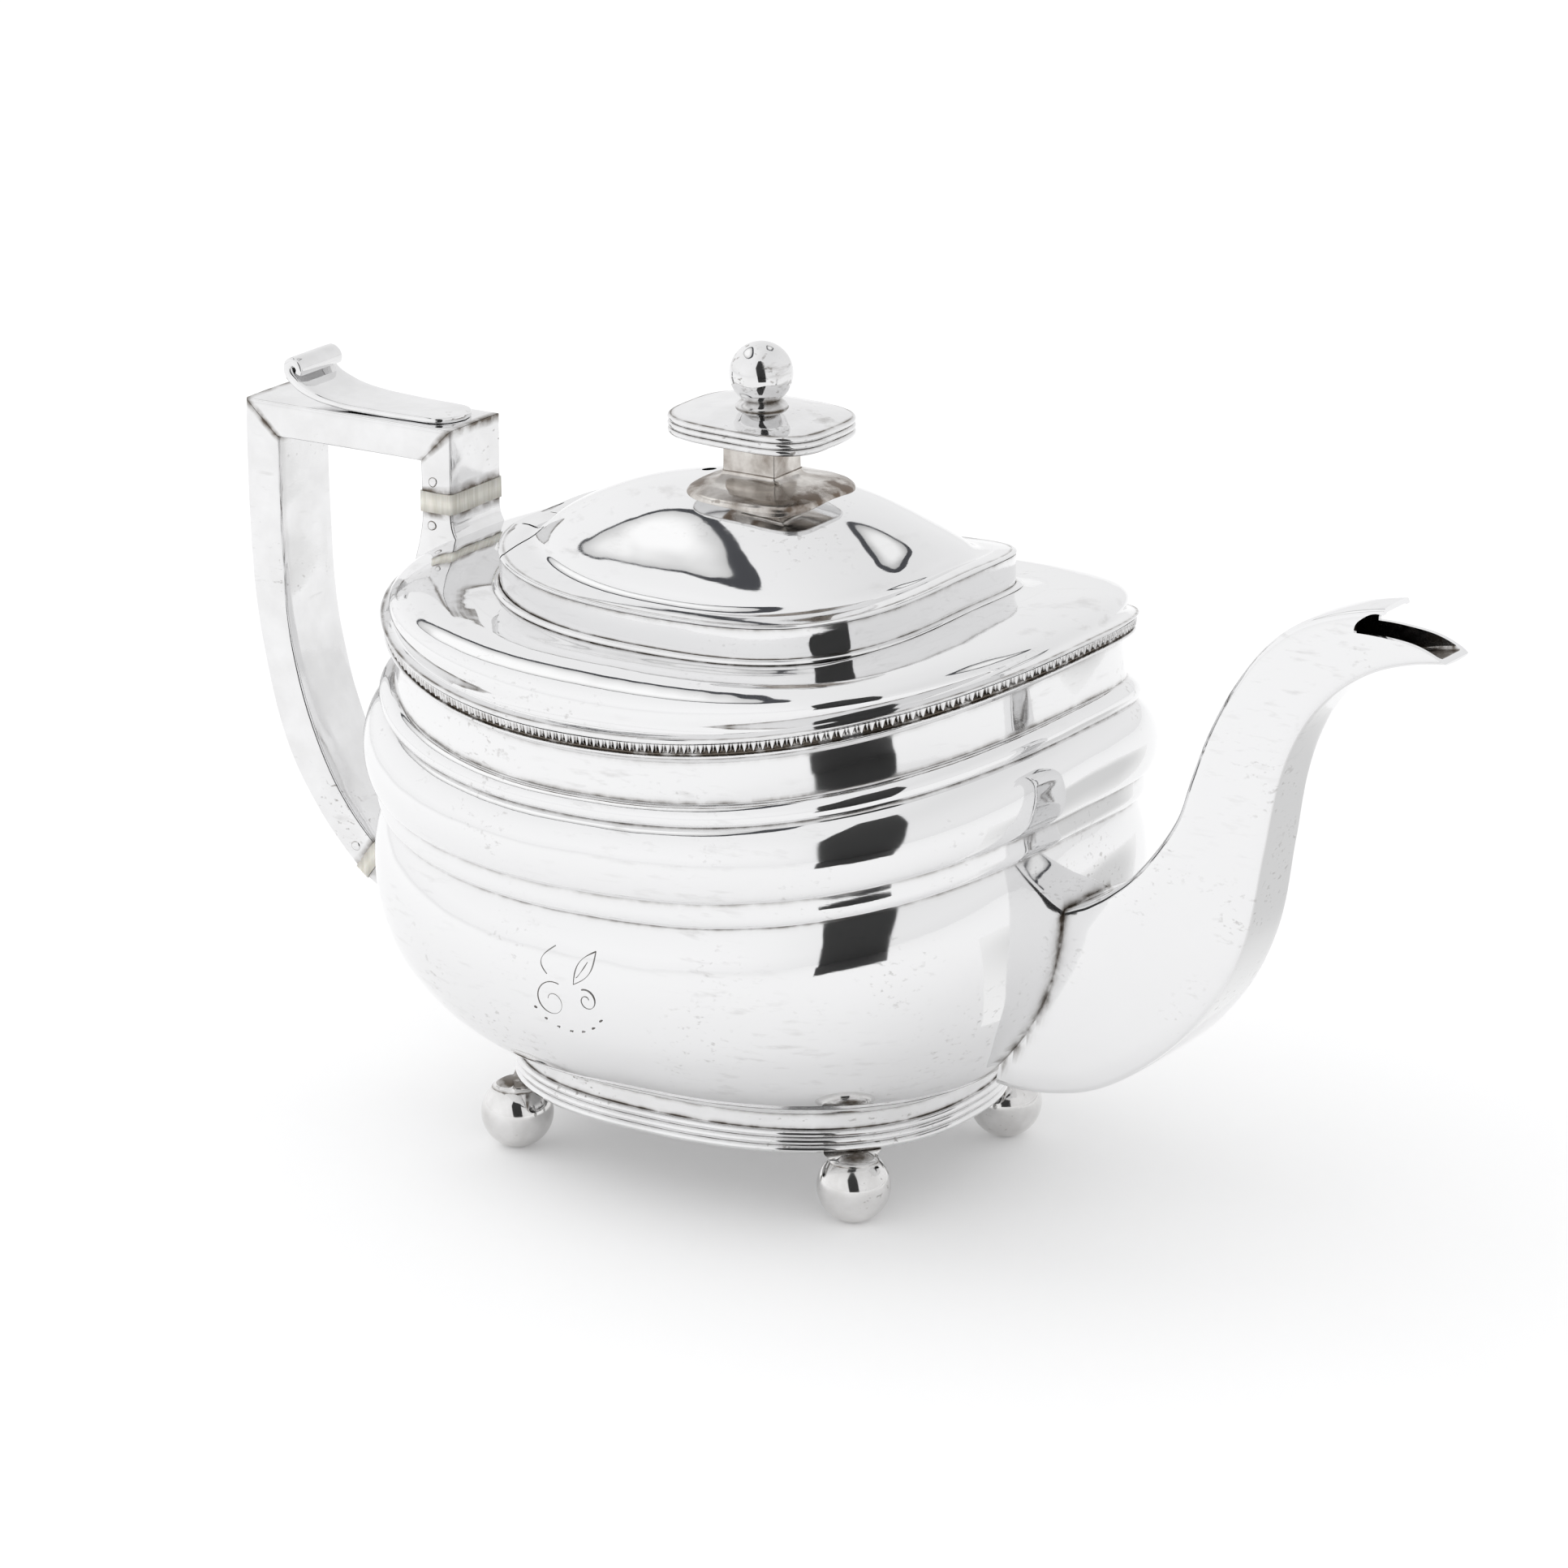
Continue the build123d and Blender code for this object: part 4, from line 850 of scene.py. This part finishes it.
def make_spout():
    """A hollow square tube, lumpy with solder at its root and cut back at its mouth."""
    grid = square_grid(SPOUT, 1.25, 0.12, 1.0)
    lumps = 0.30 * np.exp(-np.clip(beyond_body(grid), 0, None) / 4.0) * (grid[..., 2] > 50)
    grid = grid + (0, 0, 1) * (lumps * waves(grid, 4.5, 77))[..., None]
    dark = np.exp(-np.abs(beyond_body(grid)) / ROOT_FADE)
    spout = make_mesh("swan_neck_spout", [capped_part(grid, dark, 0.04, 71)])
    bore = square_grid(inset_sections(SPOUT, SPOUT_WALL), 0.8, 0.0, 2.0)
    inside = make_mesh("bore", [capped_part(bore, np.full(bore.shape[:2], 0.9))])
    boolean(spout, inside, "DIFFERENCE")
    upper = curve_points([(136.4, 127.4), (134.3, 127.35), (132.3, 126.3), (130.9, 124.9), (130.6, 123.4)],
                         0.3)
    lip = curve_points([(130.6, 123.4), (137.0, 123.3), (143.5, 122.4), (SPOUT_REACH, 120.1)], 0.8)
    outline = [(136.4, 140.0)] + upper + lip[1:] + [(SPOUT_REACH, 110.0), (160.0, 110.0), (160.0, 140.0)]
    boolean(spout, prism("mouth", outline, -20, 20), "DIFFERENCE")
    core_lines = np.array([(*level(a - 0.5, z), 0.0) for a, z in BELLY + [(74.7, 79.0), (70.0, 92.0)]]
                          + [(*flat_line(10, 10, 2, 92), 0.0), (*flat_line(10, 10, 2, SHELL_Z), 0.0)])
    boolean(spout, make_mesh("core", [ring_part(core_lines, 180)]), "DIFFERENCE")
    return dress(spout, bright, "pot", "spout")


HANDLE_W = 8.3  # half its width
RAIL_TOP, RAIL_UNDER = 133.7, 126.8
LEG_OUT, LEG_IN, GRIP_IN, HANDLE_BACK = -64.5, -71.6, -105.4, -113.1
BREAK_TOP, BREAK_UNDER = 121.1, 117.0  # the upper bone break
# The lower bone break: its middle, its directions across and down the handle, and its size.
JOINT = np.array((-87.0, 45.0))
ALONG, DOWN = np.array((0.609, 0.793)), np.array((0.793, -0.609))
JOINT_HALF, BREAK_T, PROUD = 3.5, 3.3, 0.25
SEAM, MITRE = 0.05, 0.08  # gaps at the bone breaks and under the rail
RIVETS = [(-68.7, 123.1), (-69.1, 114.4), (-89.2, 46.3), (-82.0, 41.5)]


def at_joint(across, down):
    return tuple(JOINT + ALONG * across + DOWN * down)


def paired(outside, inside, width, count):
    """Sections whose outer and inner points share out two curves evenly."""
    def share_out(points):
        curve, run = hermite(points, 0.5)
        at = np.linspace(0, run[-1], count)
        return np.stack((np.interp(at, run, curve[:, 0]), np.interp(at, run, curve[:, 1])), axis=1)
    first, second = share_out(outside), share_out(inside)
    return [(*p, *q, width) for p, q in zip(first, second)]


def beam(name, sections, corner, seed, material, node, slot="polished_silver"):
    """A square length of the handle, darkened at both ends."""
    grid = square_grid(sections, corner, 0.05)
    piece = make_mesh(name, [capped_part(grid, end_tarnish(grid, 0.8, 0.8), 0.03, seed)])
    return dress(piece, material, "pot", node, slot=slot)


def make_handle():
    w = HANDLE_W
    leg_top = RAIL_TOP - MITRE, RAIL_UNDER - MITRE
    beam("handle_rail", [(HANDLE_BACK, RAIL_TOP, GRIP_IN, RAIL_UNDER, w),
                         (LEG_OUT, RAIL_TOP, LEG_IN, RAIL_UNDER, w)],
         0.7, 81, worn, "handle_top_rail")
    beam("handle_leg", [(LEG_OUT, leg_top[0], LEG_IN, leg_top[1], w),
                        (LEG_OUT, BREAK_TOP, LEG_IN, BREAK_TOP, w)],
         0.6, 82, worn, "handle_front_leg")
    outside = [(HANDLE_BACK, leg_top[0]), (-113.3, 115.0), (-110.9, 85.0), (-104.2, 62.0),
               at_joint(-JOINT_HALF, 0)]
    inside = [(GRIP_IN, leg_top[1]), (GRIP_IN + 0.2, 108.0), (-103.6, 86.0), (-98.8, 69.0), (-91.8, 55.6),
              at_joint(JOINT_HALF, 0)]
    beam("handle_back_grip", paired(outside, inside, w, 14), 0.7, 83, worn, "handle_grip")
    beam("upper_socket", [(LEG_OUT, BREAK_UNDER, LEG_IN, BREAK_UNDER, w), (-64.2, 114.0, -71.9, 114.0, w),
                          (-62.9, 111.6, -72.6, 110.6, w), (-61.0, 109.4, -73.5, 107.4, w),
                          (-60.6, 106.0, -74.0, 104.0, w)],
         0.8, 84, worn, "handle_upper_socket")
    beam("lower_socket", [(*at_joint(-JOINT_HALF, BREAK_T), *at_joint(JOINT_HALF, BREAK_T), w),
                          (-80.5, 36.6, -77.8, 45.0, w), (-73.0, 34.0, -70.0, 44.6, w),
                          (-67.5, 34.0, -67.0, 44.2, w)],
         0.7, 85, worn, "handle_lower_socket")
    wide, reach = w + PROUD, JOINT_HALF + PROUD
    beam("upper_bone_break", [(LEG_OUT + PROUD, z, LEG_IN - PROUD, z, wide)
                              for z in (BREAK_TOP - SEAM, BREAK_UNDER + SEAM)],
         0.7, 86, bone, "upper_insulator", slot="bone")
    beam("lower_bone_break", [(*at_joint(-reach, down), *at_joint(reach, down), wide)
                              for down in (SEAM, BREAK_T - SEAM)],
         0.7, 87, bone, "lower_insulator", slot="bone")
    make_pins()
    make_thumb_piece()


def make_pins():
    """Four silver pins across the handle, with slightly domed, uneven heads."""
    parts = []
    head = [(0.01, 0.36), (0.35, 0.34), (0.7, 0.25), (0.95, 0.1), (1.05, 0.0)]
    for k, (x, z) in enumerate(RIVETS):
        rows = [(r, -HANDLE_W - h) for r, h in head] + [(r, HANDLE_W + h) for r, h in head[::-1]]
        phi = np.arange(24) * math.pi / 12
        shape = 1 + 0.06 * np.sin(2 * phi + k) + 0.03 * np.sin(3 * phi + 2 * k)
        grid = np.array([[(x + r * s * math.cos(p), y, z + r * s * math.sin(p)) for p, s in zip(phi, shape)]
                         for r, y in rows])
        dark = np.zeros(grid.shape[:2])
        dark[3:7] = 0.8
        parts.append(capped_part(grid, dark))
    return dress(make_mesh("handle_pin_heads", parts), worn, "pot", "handle_pins", slot="tarnished_silver")


def make_thumb_piece():
    """A flat leaf soldered along the rail, which sweeps up at the back and rolls over forwards."""
    route = [(-66.8, 134.35), (-72.0, 134.35), (-84.0, 134.4), (-92.0, 134.75), (-98.0, 135.8),
             (-102.2, 137.7), (-104.0, 139.8), (-103.9, 141.1), (-102.9, 141.75), (-101.7, 141.2),
             (-101.3, 140.2), (-101.5, 139.6)]
    path, run = hermite(route, 0.45)
    slope = np.gradient(path, axis=0)
    slope /= np.linalg.norm(slope, axis=1)[:, None]
    share = run / run[-1]
    half_width = np.interp(run, [0, 6, 24, run[-1]], [6.0, 6.1, 7.0, 6.9])
    nose = np.clip(run / 5.5, 0, 1)
    half_width = half_width * np.sqrt(np.clip(1 - (1 - nose) ** 2.2, 0.002, 1))
    thick = np.interp(share, [0, 0.03, 0.6, 0.74, 0.86, 1.0], [0.45, 0.55, 0.6, 0.95, 1.12, 0.8])
    grid = []
    for (x, z), (sx, sz), w, t in zip(path, slope, half_width, thick):
        flat = rounded_section(t, w, min(t, w) * 0.8, 0.0, 9, 5)
        middle = np.array((x, 0.0, z))
        grid.append(middle + flat[:, :1] * np.array((-sz, 0, sx)) * -1 + flat[:, 1:] * np.array((0, 1.0, 0)))
    grid = np.array(grid)
    leaf = capped_part(grid, np.zeros(grid.shape[:2]), 0.02, 91)
    return dress(make_mesh("thumb_leaf", [leaf]), worn, "pot", "thumb_piece")


# ---------------------------------------------------------------- feet
BALL_R, BALL_X, BALL_Y, BALL_Z = 7.0, 38.3, 27.15, 6.85


def make_feet():
    """Four balls, a little flat where they stand, each under a bracket."""
    balls, brackets = [], []
    lowest = -math.asin(BALL_Z / BALL_R)
    for sx in (-1, 1):
        for sy in (-1, 1):
            centre = (sx * BALL_X, sy * BALL_Y, 0)
            rows = [(POLE, 0.0)] + ball_rows(BALL_R, BALL_Z, lowest, math.radians(68))
            up = np.linspace(0, 1, len(rows) - 1)
            dark = [0.5] + list(np.interp(up, [0, 0.1, 0.8, 1], [0.45, 0.1, 0.0, 0.8]))
            ball = lathe_part(rows, 110, centre, dark, 0.02, 101 + sx + 3 * sy)
            balls.append((np.maximum(ball[0], (-1e3, -1e3, 0.0)), *ball[1:]))
            brackets.append(bracket_part(centre))
    dress(make_mesh("ball_feet_silver", balls), aged, "pot", "ball_feet", slot="tarnished_silver")
    return dress(make_mesh("ball_foot_brackets", brackets), aged, "pot", "foot_brackets",
                 slot="tarnished_silver")


def bracket_part(centre):
    """A concave web from the ring's underside down on to the top of a ball."""
    count, reach, neck = 48, 5.6, 4.85
    top, under = FOOT_Z + 0.1, 11.9
    turn = np.arange(count) * 2 * math.pi / count
    facing = np.cos(turn - math.atan2(centre[1], centre[0]))
    reach = np.where(facing > 0, np.minimum(reach, 0.5 / np.maximum(facing, 1e-3)), reach)
    rows = []
    for v in np.linspace(0, 1, 10):
        radius = neck + (reach - neck) * (1 - v) ** 2.2
        height = np.full(count, top - v * (top - under))
        rows.append(np.stack((radius * np.cos(turn), radius * np.sin(turn), height), axis=-1) + centre)
    dark = np.tile(np.array([0.8, 0.4, 0.1, 0, 0, 0, 0.1, 0.3, 0.7, 0.9])[:, None], (1, count))
    return capped_part(np.array(rows), dark)


make_body()
make_scroll()
make_collar()
make_border()
make_shoulder()
make_gallery()
make_lid()
make_finial()
make_spout()
make_handle()
make_feet()

# ---------------------------------------------------------------- pieces kept as the frame has them
for node, material in (("base_plate", worn), ("hinge_centre_knuckle", worn), ("hinge_pin", worn),
                       ("lid_knuckles", worn), ("lid_bezel", bright), ("finial_bolt", dull),
                       ("finial_washer", dull), ("finial_nut", dull)):
    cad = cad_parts[node]
    cad.data.materials.clear()
    cad.data.materials.append(material)


# ---------------------------------------------------------------- studio
def plain_material(name, colour, glow=None):
    """A matt colour, or with `glow` a sheet that only shines."""
    material = bpy.data.materials.new(name)
    material.use_nodes = True
    shader = material.node_tree.nodes["Principled BSDF"]
    shader.inputs["Base Color"].default_value = (*colour, 1)
    shader.inputs["Roughness"].default_value = 0.6
    if glow is not None:
        shader.inputs["Base Color"].default_value = (0, 0, 0, 1)
        shader.inputs["Specular IOR Level"].default_value = 0
        shader.inputs["Emission Color"].default_value = (*colour, 1)
        shader.inputs["Emission Strength"].default_value = glow
    return material


def panel_material(name, edge, middle):
    """A lit panel whose brightness goes from `middle` to `edge`."""
    material = plain_material(name, (1, 1, 1), 1.0)
    nodes, links = material.node_tree.nodes, material.node_tree.links
    shifted = nodes.new("ShaderNodeMapping")
    shifted.inputs["Location"].default_value = (-0.5, -0.5, 0)
    links.new(nodes.new("ShaderNodeTexCoord").outputs["UV"], shifted.inputs["Vector"])
    away = nodes.new("ShaderNodeVectorMath")
    away.operation = "LENGTH"
    links.new(shifted.outputs["Vector"], away.inputs[0])
    fade = nodes.new("ShaderNodeValToRGB")
    fade.color_ramp.interpolation = "EASE"
    for element, place, value in zip(fade.color_ramp.elements, (0.2, 0.62), (middle, edge)):
        element.position = place
        element.color = (value, value, value, 1)
    links.new(away.outputs["Value"], fade.inputs["Fac"])
    links.new(fade.outputs["Color"], nodes["Principled BSDF"].inputs["Emission Color"])
    return material


def card(name, corners, material, power=None):
    """A flat four-sided sheet in the studio, seen only in reflections. With a power, its corners
    are rounded off as a superellipse's."""
    places = [(0, 0), (1, 0), (1, 1), (0, 1)]
    if power:
        turns = np.linspace(0, 2 * math.pi, 60, endpoint=False)
        reach = (np.abs(np.cos(turns)) ** power + np.abs(np.sin(turns)) ** power) ** (-1 / power)
        places = [(0.5 + 0.5 * r * math.cos(t), 0.5 + 0.5 * r * math.sin(t)) for r, t in zip(reach, turns)]
    points = [corners[0] * ((1 - u) * (1 - v)) + corners[1] * (u * (1 - v)) + corners[2] * (u * v)
              + corners[3] * ((1 - u) * v) for u, v in places]
    mesh = bpy.data.meshes.new(name)
    mesh.from_pydata([tuple(point) for point in points], [], [tuple(range(len(points)))])
    spread = mesh.uv_layers.new(name="spread")
    for loop, place in zip(spread.data, places):
        loop.uv = place
    obj = bpy.data.objects.new(name, mesh)
    bpy.context.scene.collection.objects.link(obj)
    obj.data.materials.append(material)
    obj.visible_camera = False
    obj.visible_diffuse = False
    obj.visible_shadow = False
    return obj


CEILING = 1.1  # m above the pot's middle
MIDDLE = 0.12  # m
FRAME_ABOVE = 0.02  # m that a soft box's dark frame hangs above its panel


def overhead(corners, height=CEILING):
    """Corners of a level sheet, from how far each lies towards the camera and to the right, as
    shares of its height."""
    return [TO_CAMERA * (a * height) + TO_RIGHT * (b * height) + Vector((0, 0, height + MIDDLE))
            for a, b in corners]


LEFT_BOX = ((0.12, -0.96), (0.10, -0.44), (-0.94, -0.40), (-1.02, -1.10))
LEFT_FRAME = ((0.18, -0.98), (0.25, -0.36), (-1.02, -0.33), (-1.07, -1.12))
RIGHT_BOX = ((-0.40, 0.26), (-0.42, 0.46), (-0.93, 0.54), (-0.93, 0.24))
RIGHT_FRAME = ((-0.33, 0.22), (-0.36, 0.52), (-0.98, 0.60), (-0.98, 0.20))
LEFT_ROUND, RIGHT_ROUND = 2.6, 4.0  # powers of the panels' outlines
# Brightness of the tent from level to straight up, and its slight blueness.
TENT = [(0.0, 0.94), (0.15, 0.97), (0.45, 0.95), (0.7, 0.91), (1.0, 0.89)]
BLUE = 1.005
FLOOR_WHITE, FLOOR_GLOW, FLOOR_REACH = 0.88, 0.155, 30.0
SLOT_BLACK = 0.012
SLOT_AWAY = 1.5  # m
SLOT = [(-0.34, 0.44, 0.0), (-0.62, 0.34, 1.1), (-0.46, 0.04, 2.5)]  # m: left and right edges at each height
KEY_POWER, KEY_SIZE = 3.3, (1.3, 1.1)


def make_tent(scene):
    """The world: a white tent, a little darker overhead and brighter on the left, where the light
    comes through it."""
    world = bpy.data.worlds.new("studio")
    scene.world = world
    world.use_nodes = True
    nodes, links = world.node_tree.nodes, world.node_tree.links
    direction = nodes.new("ShaderNodeTexCoord").outputs["Generated"]
    split = nodes.new("ShaderNodeSeparateXYZ")
    links.new(direction, split.inputs[0])
    sky = nodes.new("ShaderNodeValToRGB")
    while len(sky.color_ramp.elements) < len(TENT):
        sky.color_ramp.elements.new(0.5)
    for element, (place, value) in zip(sky.color_ramp.elements, TENT):
        element.position = place
        element.color = (value, value, value * BLUE, 1)
    links.new(split.outputs["Z"], sky.inputs["Fac"])
    dot = nodes.new("ShaderNodeVectorMath")
    dot.operation = "DOT_PRODUCT"
    dot.inputs[1].default_value = (-TO_RIGHT * 0.95 - TO_CAMERA * 0.05 + Vector((0, 0, 0.3))).normalized()
    links.new(direction, dot.inputs[0])
    lit = nodes.new("ShaderNodeMapRange")
    lit.interpolation_type = "SMOOTHSTEP"
    for socket, number in (("From Min", -0.1), ("From Max", 0.85), ("To Min", 0.97), ("To Max", 1.12)):
        lit.inputs[socket].default_value = number
    links.new(dot.outputs["Value"], lit.inputs["Value"])
    links.new(sky.outputs["Color"], nodes["Background"].inputs["Color"])
    links.new(lit.outputs["Result"], nodes["Background"].inputs["Strength"])


def make_floor(scene):
    r = FLOOR_REACH
    mesh = bpy.data.meshes.new("floor")
    mesh.from_pydata([(-r, -r, 0), (r, -r, 0), (r, r, 0), (-r, r, 0)], [], [(0, 1, 2, 3)])
    floor = bpy.data.objects.new("floor", mesh)
    scene.collection.objects.link(floor)
    white = plain_material("white_floor", (FLOOR_WHITE, FLOOR_WHITE, FLOOR_WHITE))
    shader = white.node_tree.nodes["Principled BSDF"]
    shader.inputs["Specular IOR Level"].default_value = 0
    shader.inputs["Emission Color"].default_value = (1, 1, 1, 1)
    shader.inputs["Emission Strength"].default_value = FLOOR_GLOW
    floor.data.materials.append(white)


def make_cards():
    """The black slot that the camera looks through, the dark beyond the table, a painted shadow on the floor
    behind the spout, and two soft boxes.
    """
    black = plain_material("black_cloth", (SLOT_BLACK, SLOT_BLACK, SLOT_BLACK))
    dark = plain_material("dark_frame", (0.075, 0.077, 0.085), 1.0)
    near, edge, low = TO_CAMERA * SLOT_AWAY, TO_CAMERA * 0.40, Vector((0, 0, 0.001))
    for name, below, above in zip(("camera_slot_low", "camera_slot_high"), SLOT, SLOT[1:]):
        corners = [near + TO_RIGHT * across + Vector((0, 0, height))
                   for across, height in ((below[0], below[2]), (below[1], below[2]),
                                          (above[1], above[2]), (above[0], above[2]))]
        card(name, corners, black)
    card("dark_beyond_table", [edge - TO_RIGHT * 0.085 + low, edge + TO_RIGHT * 0.115 + low,
                               near + TO_RIGHT * 0.44 + low, near - TO_RIGHT * 0.36 + low], black)
    # A painted shadow: a grey sheet on the floor just behind the spout, seen only in reflections, stands in
    # for the pot's shadow there, so the floor there looks a little darker than the rest.
    patch = ((0.07, 0.0), (0.26, 0.0), (0.26, 0.34), (0.07, 0.34))
    card("painted_shadow_behind_spout", [Vector((x, y, 0.001)) for x, y in patch], panel_material("painted_floor_shadow", 0.99, 0.74))
    card("left_softbox_frame", overhead(LEFT_FRAME, CEILING + FRAME_ABOVE), dark, LEFT_ROUND)
    card("left_softbox", overhead(LEFT_BOX), panel_material("left_panel", 0.62, 1.15), LEFT_ROUND)
    card("right_softbox_frame", overhead(RIGHT_FRAME, CEILING + FRAME_ABOVE), dark, RIGHT_ROUND)
    card("right_softbox", overhead(RIGHT_BOX), panel_material("right_panel", 0.5, 1.0), RIGHT_ROUND)


def make_key(scene):
    """The light of the left soft box, which the silver doesn't mirror a second time."""
    light = bpy.data.lights.new("key", "AREA")
    light.shape = "RECTANGLE"
    light.size, light.size_y = KEY_SIZE
    light.energy = KEY_POWER
    lamp = bpy.data.objects.new("key", light)
    middle = sum(overhead(LEFT_BOX), Vector()) / 4
    lamp.location = middle
    lamp.rotation_euler = (-middle).to_track_quat("-Z", "Y").to_euler()
    lamp.visible_glossy = False
    scene.collection.objects.link(lamp)


def make_studio():
    scene = bpy.context.scene
    scene.view_settings.view_transform = "Standard"
    make_tent(scene)
    make_floor(scene)
    make_cards()
    make_key(scene)


make_studio()
